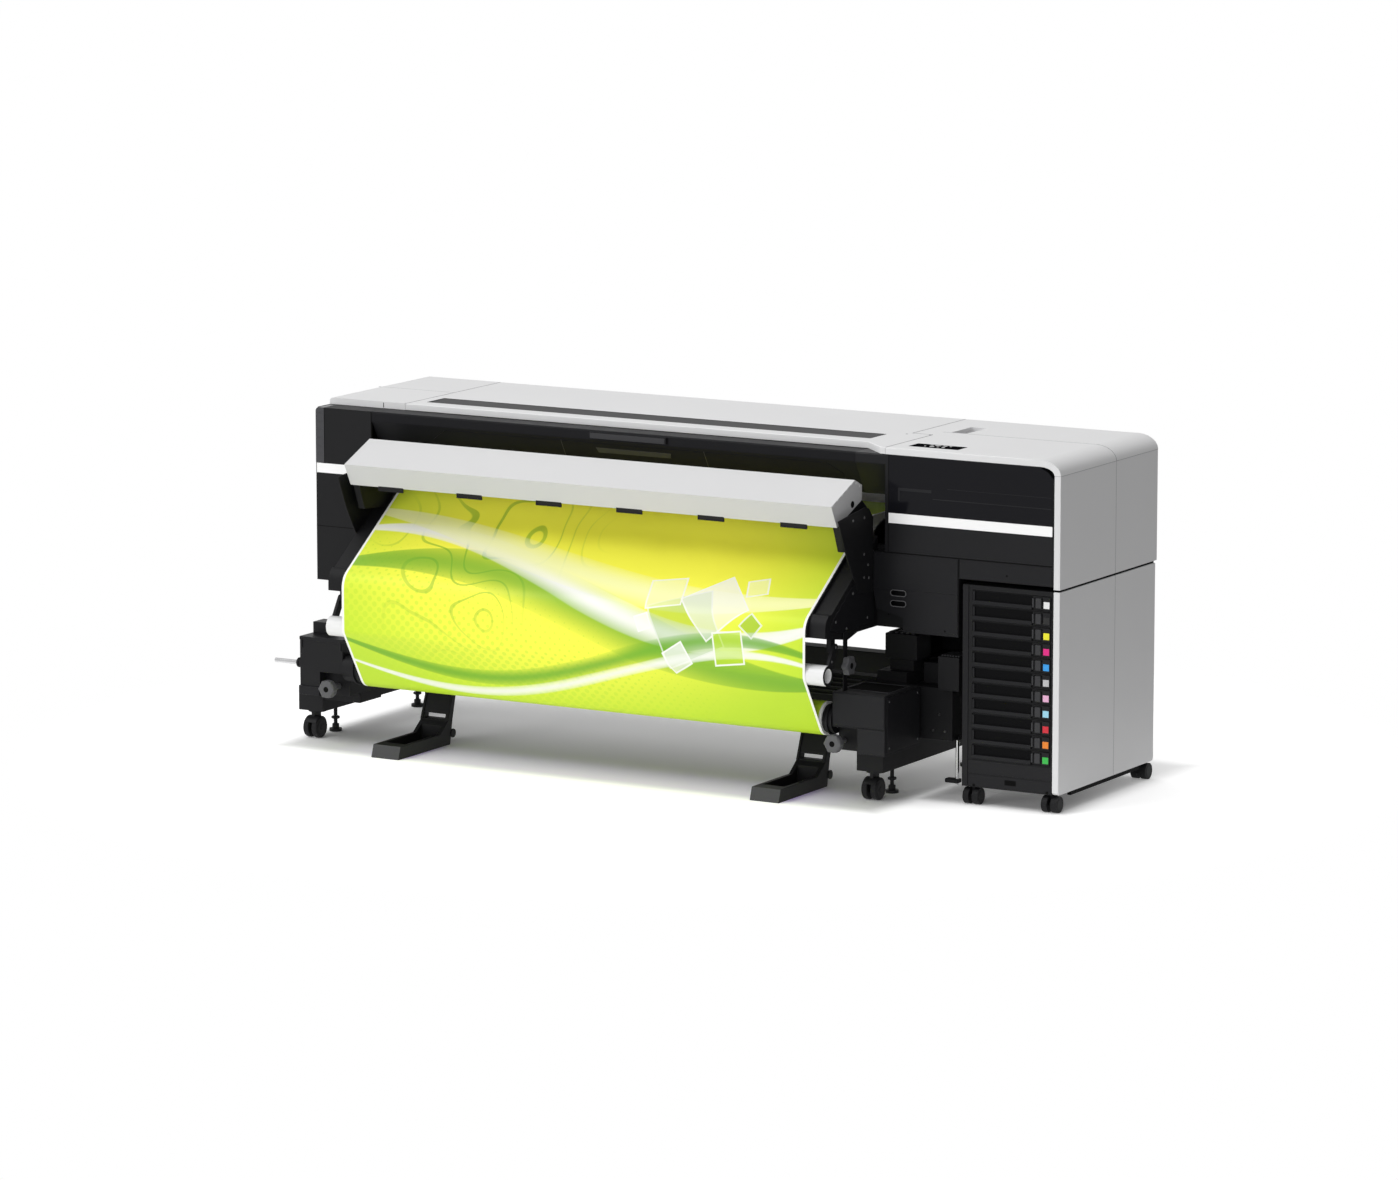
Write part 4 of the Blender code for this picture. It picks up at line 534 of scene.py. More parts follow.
def dressShells():
    s = shell
    top, wide, half = s["top"], s["width"], s["seamHalf"]

    def inHole(middle):  # window, screen and lifting grip keep their crisp edges
        x, y = middle.x - bodyLeft, middle.y - bodyFront
        return any(x0 < x < x1 and y0 < y < y1 for x0, x1, y0, y1 in s["holes"])

    def softRim(shape):  # rounder outer top edges, roundest where the left end turns down
        rim = [e for e in shape.edges if all(v.co.z > top - 0.0005 for v in e.verts)
               and e.calc_face_angle(0.0) > 0.5 and not inHole((e.verts[0].co + e.verts[1].co) / 2)]
        ends = [e for e in rim if all(v.co.x - bodyLeft < 0.0005 for v in e.verts)]
        for edges, width, steps in ((ends, 0.012, 8), ([e for e in rim if e not in ends], 0.0032, 4)):
            if edges:
                bevelEdges(shape, [e for e in edges if e.is_valid], width, steps)

    for node in ("top_cover_left", "top_cover_centre", "top_cover_right"):
        dress(node, "whiteShell", reshape=softRim, merge=False)
    dress("right_side_panel", "whiteShell", edge=0.0018, steps=3, merge=False)
    seam = overCorner(s["proud"]) + overCorner(-s["sunk"])[::-1]
    makePiece("rightCoverSeam", "shellSeam", [(addPrism, "Y", seam, *span(s["seamY"], half))])
    skin = (top - s["sunk"], top + 0.0002)
    x0, x1, x2 = s["jointX"]
    makePiece("coverJoints", "shellSeam", [  # between the top covers and above the side panel
        (span(x2, half), (0.003, s["jointY"]), skin), ((x1, x2), span(s["jointY"], half), skin),
        (span(x1, half), (s["jointY"], s["rear"]), skin), (span(x0, half), (0.083, s["rear"]), skin),
        ((wide - s["sunk"], wide + 0.0002), (0.002, s["rear"] + 0.001), s["sideLine"]),
        ((2.5795, wide - 0.0005), (-0.0002, s["sunk"]), s["sideLine"]),
        ((2.0152, 2.0164), (-0.0002, s["sunk"]), (1.0325, 1.049)),
    ])
    marks = [((1.942, 0.273, top), up), ((2.012, 0.289, top), up)]
    addScrews("coverScrews", marks, radius=0.004, height=0.001, finish="shellSeam")
    makePiece("gripFloor", "shellSeam", [s["grip"]])
    makePiece("leftCoverSeam", "shellSeam", [(*s["leftSeam"], (top - s["sunk"], top + s["proud"]))])


leftEnd = {
    "depth": 0.64, "right": 0.2058, "seamZ": (0.6572, 0.6588),
    "lensRight": 0.030, "lensHub": (0.0118, 1.0186),
}


def dressLeftEnd():
    e = leftEnd
    low, high = shell["stripe"]
    line, hub, sill = (-0.0004, 0.001), e["lensHub"], high + 0.002

    def softCorner(shape):
        edges = [edge for edge in shape.edges
                 if all(v.co.x - bodyLeft < 0.0005 and v.co.z > shell["lip"] - 0.001 for v in edge.verts)]
        bevelEdges(shape, edges, 0.012, 6)

    dress("left_end_cover", "blackMoulded", edge=0.0025, steps=3, reshape=softCorner, merge=False)
    outline = [(-0.0006, 0.04), (-0.0006, 0.003), (0.003, -0.0006), (e["right"], -0.0006),
               (e["right"], 0.002), (0.004, 0.002), (0.002, 0.004), (0.002, 0.04)]
    makePiece("leftStripe", "stripeWhite", [(addPrism, "Z", outline, low, high)], edge=0.0002)
    outside = [(-0.0006, sill)] + arc(hub, 0.0124, 180, 90, 6) + [(e["lensRight"], shell["lip"])]
    inside = [(e["lensRight"], 1.0296)] + arc(hub, 0.011, 90, 180, 6) + [(0.0008, sill)]
    makePiece("leftLens", "smokedPale", [  # pale smoked corner beside the left module
        (addPrism, "Y", outside + [(e["lensRight"], sill)], -0.0006, 0.0008),
        (addPrism, "Y", outside + inside, 0.0004, 0.060)], edge=0.0003)
    addSlots("lensRibs")
    makePiece("leftSeams", "holeShadeAndSeamBlack", [
        ((0.0, 0.206), (-0.0003, 0.001), e["seamZ"]), ((-0.0003, 0.001), (0.0, e["depth"]), e["seamZ"]),
        ((0.0305, 0.0315), line, (high, 1.030)), ((0.2036, e["right"]), line, (high, 1.030)),
        ((0.1988, 0.2012), (0.0795, 0.0815), (1.0335, 1.0485)),
    ])
    addSlots("leftVents")
    addScrews("leftScrews", [((0.0, y, z), left) for y in (0.05, 0.59) for z in (0.52, 0.63, 0.69, 0.99)])


rightPanel = {
    "left": 2.0285, "right": 2.5734, "windowLow": 0.8575, "windowHigh": 1.0275, "midLow": 0.741,
    "lowHigh": 0.7335, "lowLeft": 1.9785, "lowRight": 2.2615, "slotX": (2.0375, 2.0875),
    "slotZ": (0.6085, 0.577), "slotHigh": 0.0155,
    "cornerHub": (2.518, 0.989), "cornerReach": (0.0554, 0.0385),
}


def ovalLine(x, z, high, wall):
    radius = high / 2
    ends = ((x[1] - radius, -90), (x[0] + radius, 90))
    return [p for hub, start in ends for p in arc((hub, z + radius), radius + wall, start, start + 180, 8)]


def dressRightFront():
    p = rightPanel
    low, high = shell["stripe"]
    wide, skin, plate, line = (p["left"], p["right"]), (-0.0010, 0.001), (-0.0014, 0.001), (-0.0004, 0.001)
    dress("right_front_panel", "blackSatin")
    makePiece("rightStripe", "stripeWhite", [(wide, (-0.0012, 0.001), (low, high))], edge=0.0003)
    window = [(p["left"], p["windowLow"]), (p["left"], p["windowHigh"])]
    window += arc(p["cornerHub"], p["cornerReach"], 90, 0, 8) + [(p["right"], p["windowLow"])]
    makePiece("rightWindow", "smokedGloss", [(addPrism, "Y", window, *skin)], edge=0.0004)
    makePiece("rightPlates", "blackSatin", [
        (wide, skin, (p["midLow"], low - 0.0012)),
        ((p["lowLeft"], p["lowRight"]), plate, (0.627, p["lowHigh"])),
        ((2.0895, p["lowRight"]), plate, (0.508, 0.627)),
        ((2.2680, p["right"]), plate, (0.680, p["lowHigh"])),
    ], edge=0.0008)
    rims = [[ovalLine(p["slotX"], z, p["slotHigh"], wall) for wall in (0.0, 0.0022)] for z in p["slotZ"]]
    makePiece("slotRims", "rimGrey", [(addRing, "Y", *rim, -0.0002, -0.0022) for rim in rims], edge=0.0004)
    box, rail = (-0.0013, 0.001), (-0.00125, 0.001)
    makePiece("windowRails", "glimpse", [  # parts that show dimly through the window
        ((2.060, 2.172), box, (0.925, 0.934)), ((2.060, 2.066), box, (0.895, 0.925)),
        ((2.176, 2.570), rail, (0.906, 0.909)), ((2.225, 2.570), rail, (0.940, 0.9415)),
    ], edge=0.0002)
    makePiece("rightSeams", "holeShadeAndSeamBlack", [
        ((2.0262, 2.0282), line, (0.739, 1.029)), ((1.978, p["right"]), line, (0.7355, 0.7385)),
        ((2.2630, 2.2665), line, (0.545, 0.7345))])
    spots = ((2.425, -0.0014, 0.698), (2.03, -0.0006, 0.55), (2.22, -0.0014, 0.515))
    marks = [(spot, front) for spot in spots]
    addScrews("rightScrews", marks, radius=0.003, height=0.0008, finish="holeShadeAndSeamBlack")


screen = {  # lit tiles on the sleeping screen: row, then left end and width of each
    0.103: ((2.112, 0.010), (2.128, 0.018), (2.155, 0.012), (2.176, 0.007)),
    0.078: ((2.104, 0.005), (2.122, 0.014), (2.146, 0.005), (2.162, 0.010)),
}


def dressScreen():
    dress("touch_panel", "screenGlass", edge=0.0004)
    tiles = [((x, x + wide), (y, y + 0.007), (1.0512, 1.05165))
             for y, row in screen.items() for x, wide in row]
    makePiece("screenTiles", "stripeWhite", tiles, edge=0.0001)
    dress("top_window", "topSmoke", edge=0.0008)
    top = shell["top"]
    makePiece("windowRim", "holeShadeAndSeamBlack", [((0.3205, 1.8895), (0.2375, 0.2427), (top - 0.0012, top - 0.0001)),
                                         ((0.3205, 0.3275), (0.1405, 0.2427), (top - 0.0012, top))])


smokeCover = {
    "bandLow": 1.0007, "footY": 0.060, "footZ": 0.8997, "pane": (0.42, 1.863), "shoulder": 0.05,
    "seams": (0.889, 1.392), "seamHalf": 0.0009, "handle": (1.000, 1.263), "slot": (1.008, 1.2725),
}


def dressFrontCover():
    dress("front_cover", "coverSmoke", edge=0.0006, merge=False)
    s = smokeCover
    run, drop = s["footY"], s["footZ"] - s["bandLow"]
    long = math.hypot(run, drop)
    lean = Vector((0.0, run / long, drop / long))
    out = Vector((0.0, drop / long, -run / long))

    def leanPlate(shape, outline, low, high):  # outline in metres across and in shares down the leaning face
        foot = [at(x, 0.0, s["bandLow"]) + lean * (share * long) for x, share in outline]
        joinRows(shape, [[spot + out * lift for spot in foot] for lift in (low, high)])

    def coverPiece(name, finish, *parts, edge=0.0):
        makePiece(name, finish, parts, "front_cover_body", edge)

    (x0, x1), side = s["pane"], s["shoulder"]
    pane = [(x0, 0.97), (x0, 0.42), (x0 + side, 0.10), (x1 - side, 0.10), (x1, 0.42), (x1, 0.97)]
    coverPiece("frontPane", "paneSmoke", (leanPlate, pane, -0.001, 0.0012), edge=0.0006)
    edges = [span(x, s["seamHalf"]) for x in s["seams"]]
    lines = [[(a, 0.09), (b, 0.09), (b, 0.98), (a, 0.98)] for a, b in edges]
    coverPiece("paneSeams", "edgeGrey", *[(leanPlate, line, 0.0, 0.0016) for line in lines])
    x0, x1 = s["slot"]
    slot = [(x0, 0.24), (x1, 0.24), (x1 - 0.006, 0.40), (x0 + 0.006, 0.40)]
    coverPiece("paneSlot", "edgeGrey", (leanPlate, slot, 0.0008, 0.0022), edge=0.0005)
    coverPiece("coverHandle", "edgeGrey", (s["handle"], (-0.0095, -0.0078), (1.0065, 1.0235)), edge=0.0007)


rearSide = {
    "y": 0.645, "edgeX": (0.06, 0.20, 2.02, 2.54), "edgeZ": (0.70, 0.85, 1.00), "topX": (0.5, 0.9, 1.3, 1.7),
}


def dressInside():
    for node, finish, edge in (("rear_cover", "blackMoulded", 0.0012), ("base_frame", "blackPowder", 0.0012),
                               ("platen", "platenMetal", 0.0), ("feed_roller", "rollerRubber", 0.001),
                               ("carriage_rail", "groundSteel", 0.001)):
        dress(node, finish, edge)
    dress("carriage", "blackMoulded", edge=0.004, steps=3)
    for name in ("rearVents1", "rearVents2", "rearVents3", "rearRightVents"):
        addSlots(name)
    spots = [(x, z) for x in rearSide["edgeX"] for z in rearSide["edgeZ"]]
    spots += [(x, 1.015) for x in rearSide["topX"]]
    addScrews("rearScrews", [((x, rearSide["y"], z), back) for x, z in spots])


hood = {
    "sides": ((0.246, -1, left), (1.954, 1, right)), "base": 0.829, "hole": (-0.088, 0.8866),
    "hem": [(-0.2185, 0.8965), (-0.0733, 0.958), (-0.030, 0.9373)],
    "plate": [(-0.2207, 0.855), (-0.054, 0.876), (-0.030, 0.868), (-0.004, 0.838), (-0.005, 0.738),
              (-0.012, 0.612), (-0.092, 0.620), (-0.1725, 0.750)],
    "plateOut": (0.0215, 0.025),
    "screws": [(-0.060, 0.735), (-0.035, 0.700), (-0.060, 0.665), (-0.030, 0.660), (-0.130, 0.845),
               (-0.060, 0.845)],
}


def dressHood():
    h = hood
    # painted shade: the hood and its hems take the darker copy of the shell white
    dress("dryer_hood", "shadedHoodWhite", other="blackMoulded",
          rule=lambda spot, facing: spot.z < h["base"] - 0.0005)
    for node in ("hood_arm_left", "hood_arm_right"):
        dress(node, "blackPowder", edge=0.001)
    hems, plates, cups, marks = [], [], [], []
    for x, sign, facing in h["sides"]:
        for ((y0, z0), (y1, z1)), count in zip(zip(h["hem"], h["hem"][1:]), (5, 2)):
            for share in [(i + 0.5) / count for i in range(count)]:  # folded hem tags on the end plates
                y, z = y0 + (y1 - y0) * share, z0 + (z1 - z0) * share - 0.006
                hems.append((outward(x, sign, 0.0018, 0.0), span(y, 0.007), (z - 0.004, z + 0.003)))
        near, far = [x + sign * out for out in h["plateOut"]]
        plates.append((addPrism, "X", h["plate"], *sorted((near, far))))  # carries the hood, with its spacer
        plates.append((outward(x, sign, 0.0216, 0.0), (-0.150, -0.040), (0.832, 0.850)))
        # painted shade: a black disc stands for each hole in the hood's end plates
        cups.append((addRod, "X", h["hole"], *outward(x, sign, 0.0001, 0.006), 0.0103))
        marks += [((far, *spot), facing) for spot in h["screws"]]
    makePiece("hoodHems", "shadedHoodWhite", hems, edge=0.0006)
    makePiece("hoodPlates", "blackPowder", plates, edge=0.0009)
    makePiece("hoodHoles", "holeShadeAndSeamBlack", cups)
    addScrews("armScrews", marks, radius=0.0042, height=0.002)


dressShells()
dressLeftEnd()
dressRightFront()
dressScreen()
dressFrontCover()
dressInside()
dressHood()
print("shells dressed")


# Printed web: rebuilt along the CAD solid's own outline, with a map in metres for the print
web = {"across": 48, "margin": 0.0085, "gauge": 0.0008, "step": 0.012}
mediaX = (0.287, 1.913)


def runLength(points):
    return sum((b - a).length for a, b in zip(points, points[1:]))


def webOutline():
    shape = bmesh.new()
    shape.from_mesh(frame["nodes"]["media_web"].data)
    bmesh.ops.remove_doubles(shape, verts=shape.verts, dist=0.00002)
    lowX = min(v.co.x for v in shape.verts)
    cap = [f for f in shape.faces if all(abs(v.co.x - lowX) < 0.0001 for v in f.verts)]
    end = bmesh.ops.dissolve_faces(shape, faces=cap)["region"][0]
    points = [v.co.yz for v in end.verts]
    shape.free()
    pairs = zip(points, points[1:] + points[:1])
    first, second = [i for i, (a, b) in enumerate(pairs) if (a - b).length < web["gauge"] * 1.3]
    sides = (points[first + 1:second + 1], points[second + 1:] + points[:first + 1])  # parted at the cut ends
    outer = max(sides, key=runLength)
    return outer if outer[0].x < outer[-1].x else outer[::-1]  # from the take-up roll to the supply roll


def resample(path):
    fine = [path[0]]
    for a, b in zip(path, path[1:]):
        pieces = max(1, math.ceil((b - a).length / web["step"]))
        fine += [a + (b - a) * (i / pieces) for i in range(1, pieces + 1)]
    return fine


def buildWeb():
    path = resample(webOutline())
    low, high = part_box("media_web")
    wide, across, count = high.x - low.x, web["across"], len(path)
    inner = []
    for i, here in enumerate(path):
        run = (path[min(i + 1, count - 1)] - path[max(i - 1, 0)]).normalized()
        inner.append(here + Vector((run.y, -run.x)) * web["gauge"])
    lengths = [runLength(path[:i + 1]) for i in range(count)]
    shape = bmesh.new()
    mapping = shape.loops.layers.uv.new("webMetres")
    rows, place = [], {}
    for x in [wide * i / across for i in range(across + 1)]:  # face and back of the web in one row
        rows.append([shape.verts.new((low.x + x, spot.x, spot.y)) for spot in path + inner[::-1]])
        place.update({vert: (x, length) for vert, length in zip(rows[-1], lengths + lengths[::-1])})
    for one, two in zip(rows, rows[1:]):
        for j in range(2 * count):
            k = (j + 1) % (2 * count)
            shape.faces.new((one[j], two[j], two[k], one[k]))
    for row in (rows[0], rows[-1]):
        for j in range(count - 1):
            shape.faces.new((row[j], row[j + 1], row[-2 - j], row[-1 - j]))
    bmesh.ops.recalc_face_normals(shape, faces=shape.faces)
    for face in shape.faces:
        for loop in face.loops:
            loop[mapping].uv = place[loop.vert]
    made = addPiece("printedWeb", shape, "printedVinyl", angle=40)
    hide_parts("media_web")
    print("web length", round(lengths[-1], 3))


# The print: yellow to lime ground, dot screen, contour lines, sweeping ribbons and tumbling tiles
printSpec = {
    "yellow": (1.0, 0.97, 0.075), "lime": (0.53, 0.76, 0.035), "green": (0.16, 0.42, 0.025),
    "pale": (0.97, 0.98, 0.50), "white": (0.92, 0.92, 0.88), "blank": (0.80, 0.80, 0.79),
    "middle": (0.78, 0.66), "reach": (0.95, 0.62), "limeFrom": (0.45, 1.15),
    "dotPitch": 0.024, "dotFade": (0.80, 0.25), "dotSize": 0.44, "dotStrength": 0.45,
    "taper": (1.9, 0.30), "shade": (1.7, 1.12),  # waist and shading of the ribbons
    "ribbons": [  # base, rise, wave, phase, half width, ink, strength
        (0.40, 0.15, 2.4, 0.9, 0.070, "green", 0.75), (0.52, 0.16, 2.7, 1.2, 0.040, "white", 0.85),
        (0.62, 0.13, 2.2, 1.9, 0.050, "pale", 0.8), (0.26, 0.11, 3.3, 3.2, 0.026, "green", 0.8),
        (0.21, 0.12, 3.0, 3.5, 0.016, "white", 0.8),
    ],
    "tiles": [  # across, along, half side, turn in degrees, ink, strength
        (1.215, 0.400, 0.105, 24, "green", 0.55), (1.300, 0.480, 0.088, 40, "white", 0.80),
        (1.120, 0.510, 0.060, 12, "pale", 0.85), (1.365, 0.345, 0.052, 8, "lime", 0.9),
        (1.190, 0.300, 0.040, 33, "white", 0.85), (1.440, 0.420, 0.030, 50, "green", 0.7),
        (1.070, 0.400, 0.026, 20, "white", 0.85), (1.410, 0.565, 0.036, 18, "pale", 0.85),
    ],
    "contours": {"scale": 2.1, "count": 15.0, "width": 0.045, "strength": 0.62},
    "contourMiddle": (0.42, 0.62), "contourReach": (0.46, 0.12),
}


def makePrint():
    made, tree, shader = newMaterial("printedVinyl")
    given = addNode(tree, "ShaderNodeUVMap", {}, uv_map="webMetres").outputs[0]
    metres = addNode(tree, "ShaderNodeSeparateXYZ", {0: given}).outputs
    u, v = metres["X"], metres["Y"]
    p = printSpec

    def reach(x, y):
        return calc("SQRT", plus(calc("POWER", x, 2.0), calc("POWER", y, 2.0)))

    far = reach(*[calc("DIVIDE", minus(way, c), r) for way, c, r in zip((u, v), p["middle"], p["reach"])])
    ink = mix(ramp(far, *p["limeFrom"]), p["yellow"], p["lime"])
    cell = p["dotPitch"] * 1.414
    dots = reach(*[minus(calc("FRACT", calc("DIVIDE", way, cell)), 0.5) for way in (plus(u, v), minus(u, v))])
    grow = times(ramp(plus(times(u, 0.35), v), *p["dotFade"]), p["dotSize"])
    ink = mix(times(ramp(minus(dots, grow), 0.03, -0.03), p["dotStrength"]), ink, p["lime"])
    lines = p["contours"]
    field = addNode(tree, "ShaderNodeTexNoise", {"Vector": given, "Scale": lines["scale"], "Detail": 1.0})
    level = calc("ABSOLUTE", minus(calc("FRACT", times(field.outputs["Fac"], lines["count"])), 0.5))
    near = ramp(reach(*[minus(way, c) for way, c in zip((u, v), p["contourMiddle"])]), *p["contourReach"])
    line = ramp(level, lines["width"] * 1.6, lines["width"])
    ink = mix(times(line, times(near, lines["strength"])), ink, p["green"])
    for base, rise, wave, phase, half, label, strength in p["ribbons"]:
        bend = times(calc("SINE", plus(times(u, wave), phase)), rise)
        gap = calc("ABSOLUTE", minus(v, plus(bend, base)))
        taper = times(plus(calc("SINE", times(u, p["taper"][0])), p["taper"][1]), half)
        body = ramp(minus(gap, taper), 0.003, -0.003)
        shade = ramp(calc("DIVIDE", gap, half), 0.0, p["shade"][0])
        ink = mix(times(times(body, strength), minus(p["shade"][1], shade)), ink, p[label])
    for x, y, half, turn, label, strength in p["tiles"]:
        cos, sin = math.cos(math.radians(turn)), math.sin(math.radians(turn))
        dx, dy = minus(u, x), minus(v, y)
        turned = (plus(times(dx, cos), times(dy, sin)), minus(times(dy, cos), times(dx, sin)))
        edge = calc("MAXIMUM", *[calc("ABSOLUTE", way) for way in turned])
        fill = times(ramp(edge, half, half - 0.002), plus(times(dy, 1.8), strength * 0.75))
        ink = mix(fill, ink, p[label])
        rim = ramp(calc("ABSOLUTE", minus(edge, half - 0.003)), 0.0032, 0.002)
        ink = mix(times(rim, strength), ink, p["white"])
    place, sides = placeIn(tree, "Object")
    head = sum(corner.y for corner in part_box("carriage")) / 2
    ink = mix(ramp(sides["Y"], *span(head, 0.001)), ink, p["blank"])  # nothing printed before the head
    low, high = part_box("media_web")
    side = calc("MINIMUM", u, minus(high.x - low.x, u))
    ink = mix(ramp(side, web["margin"], web["margin"] - 0.0012), ink, p["white"])
    speck = addNode(tree, "ShaderNodeTexNoise", {"Vector": place, "Scale": 900.0}).outputs["Fac"]
    relief = addNode(tree, "ShaderNodeBump", {"Height": speck, "Strength": 0.03, "Distance": 0.0003})
    wire(tree, shader, {"Base Color": ink, "Normal": relief.outputs[0], "Specular IOR Level": 0.3,
                        "Roughness": ramp(speck, 0.0, 1.0, 0.40, 0.52, "LINEAR")})
    finishes["printedVinyl"] = made


rolls = {
    "supply": (0.79, 0.58), "core": 0.0262, "coreWall": 0.006, "takeUp": (-0.155, 0.25), "wound": 0.0502,
    "flange": 0.0495, "flangeX": ((0.2555, 0.2615), (1.9265, 1.9325)),
}


def dressRolls():
    r = rolls
    supplyBody, takeBody = bodyOf("supply_roll"), bodyOf("take_up_roll")

    def coreEnd(spot, facing):
        return abs(facing.x) > 0.5 and (spot.yz - Vector(r["supply"])).length < 0.05

    dress("supply_roll", "plainVinyl", edge=0.0006, rule=coreEnd, other="paperCore")
    rings = [arc(r["supply"], radius, 0, 360, 48)[:-1] for radius in (r["core"], r["core"] + r["coreWall"])]
    ends = [(addRing, "X", *rings, x + 0.0024, x - 0.0004) for x in (mediaX[0], mediaX[1] - 0.002)]
    makePiece("supplyCore", "paperCore", ends, supplyBody, edge=0.0004)
    dress("take_up_roll", "plainVinyl", edge=0.0006, other="blackMoulded",
          rule=lambda spot, facing: not mediaX[0] - 0.001 < spot.x < mediaX[1] + 0.001)
    wrap = bmesh.new()  # printed turns already wound on
    addRod(wrap, "X", r["takeUp"], mediaX[0] + 0.0002, mediaX[1] - 0.0002, r["wound"], sides=64)
    lay = wrap.loops.layers.uv.new("webMetres")
    for face in wrap.faces:
        for loop in face.loops:
            spot = loop.vert.co - at(0, *r["takeUp"])
            loop[lay].uv = (spot.x - mediaX[0], 0.10 + 0.05 * math.cos(math.atan2(spot.z, spot.y)))
    addPiece("woundPrint", wrap, "printedVinyl", takeBody)
    flanges = [(addRod, "X", r["takeUp"], *x, r["flange"], 48) for x in r["flangeX"]]
    makePiece("rollFlanges", "blackMoulded", flanges, takeBody, edge=0.0012)


makePrint()
buildWeb()
dressRolls()
print("media ready")


# Heater, dancer bar and take-up unit
heater = {
    "slope": 0.609, "guardX": ((0.2252, 0.2275), (1.9725, 1.9748)),
    "nose": [(-0.2645, 0.580), (-0.272, 0.5735), (-0.279, 0.565), (-0.2835, 0.5555), (-0.286, 0.545),
             (-0.2865, 0.5264), (-0.2865, 0.513), (-0.262, 0.508), (-0.250, 0.510), (-0.250, 0.580)],
    "noseX": ((0.2275, 0.2865), (1.9135, 1.9725)),
    "strap": ((1.9758, 1.9790), (-0.185, -0.161), (0.3412, 0.520)),
    "screws": ((-0.02, 0.70), (-0.12, 0.625), (-0.225, 0.555), (-0.16, 0.525), (-0.03, 0.54)),
    "knob": (-0.173, 0.418), "dancer": (-0.2699, 0.40), "dancerReach": 0.0325, "dancerX": (0.2365, 1.9635),
    "bolts": ((-0.2455, 0.4385), (-0.222, 0.478)),
}


def addKnob(name, axis, centre, low, high, radius, body):
    lobes = []
    for angle in [2 * math.pi * i / 60 for i in range(60)]:
        reach = radius * (0.90 + 0.10 * math.cos(6 * angle))
        lobes.append((centre[0] + reach * math.cos(angle), centre[1] + reach * math.sin(angle)))
    makePiece(name, "knobGrey", [(addPrism, axis, lobes, low, high)], body, edge=0.003, steps=3, angle=50)
    sign, face = (-1, low) if axis == "Y" else (1, high)
    # painted shade: a black disc stands for the hole in the knob's centre
    hub = (addRod, axis, centre, *outward(face, sign, 0.0006, 0.004), radius * 0.30)
    makePiece(name + "Hub", "holeShadeAndSeamBlack", [hub], body, edge=0.0004)


def dressHeater():
    h = heater
    dress("after_heater", "blackPowder", edge=0.002)
    guard = [(0.010, 0.740), (-0.235, 0.740 - 0.245 * math.tan(h["slope"])), (-0.262, 0.535), (-0.150, 0.508),
             (-0.090, 0.522), (0.010, 0.522)]  # flat guards on the outer faces of the end caps
    makePiece("capGuards", "blackSatin", [(addPrism, "X", guard, *x) for x in h["guardX"]], edge=0.0008)
    noses = [(addPrism, "X", h["nose"], *x) for x in h["noseX"]]  # carry the end caps out to the web edges
    makePiece("capNoses", "blackPowder", noses, edge=0.0008)
    ends = ((h["guardX"][0][0], left), (h["guardX"][1][1], right))
    marks = [((x, *spot), facing) for x, facing in ends for spot in h["screws"]]
    addScrews("capScrews", marks, radius=0.0045, height=0.0022)
    makePiece("lockStrap", "blackPowder", [h["strap"]], edge=0.0008)
    addKnob("lockKnob", "X", h["knob"], 1.9800, 2.0000, 0.030, "frame")
    makePiece("lockStem", "blackPowder", [(addRod, "X", h["knob"], 1.9762, 1.9815, 0.009)], edge=0.0008)

    def offTube(spot, facing):
        inside = h["dancerX"][0] <= spot.x <= h["dancerX"][1]
        return not inside or (spot.yz - Vector(h["dancer"])).length > h["dancerReach"]

    dress("dancer_bar", "whiteTube", edge=0.0008, rule=offTube, other="blackPowder")
    bolts = [((x, *spot), facing) for x, facing in ((0.227, left), (1.973, right)) for spot in h["bolts"]]
    addScrews("dancerBolts", bolts, body=bodyOf("dancer_bar"), radius=0.004, height=0.002)


takeUp = {
    "leftX": (0.058, 0.215), "rightX": (1.944, 2.121), "front": -0.19, "knob": 0.029,
    "screwY": (-0.165, 0.012),
}


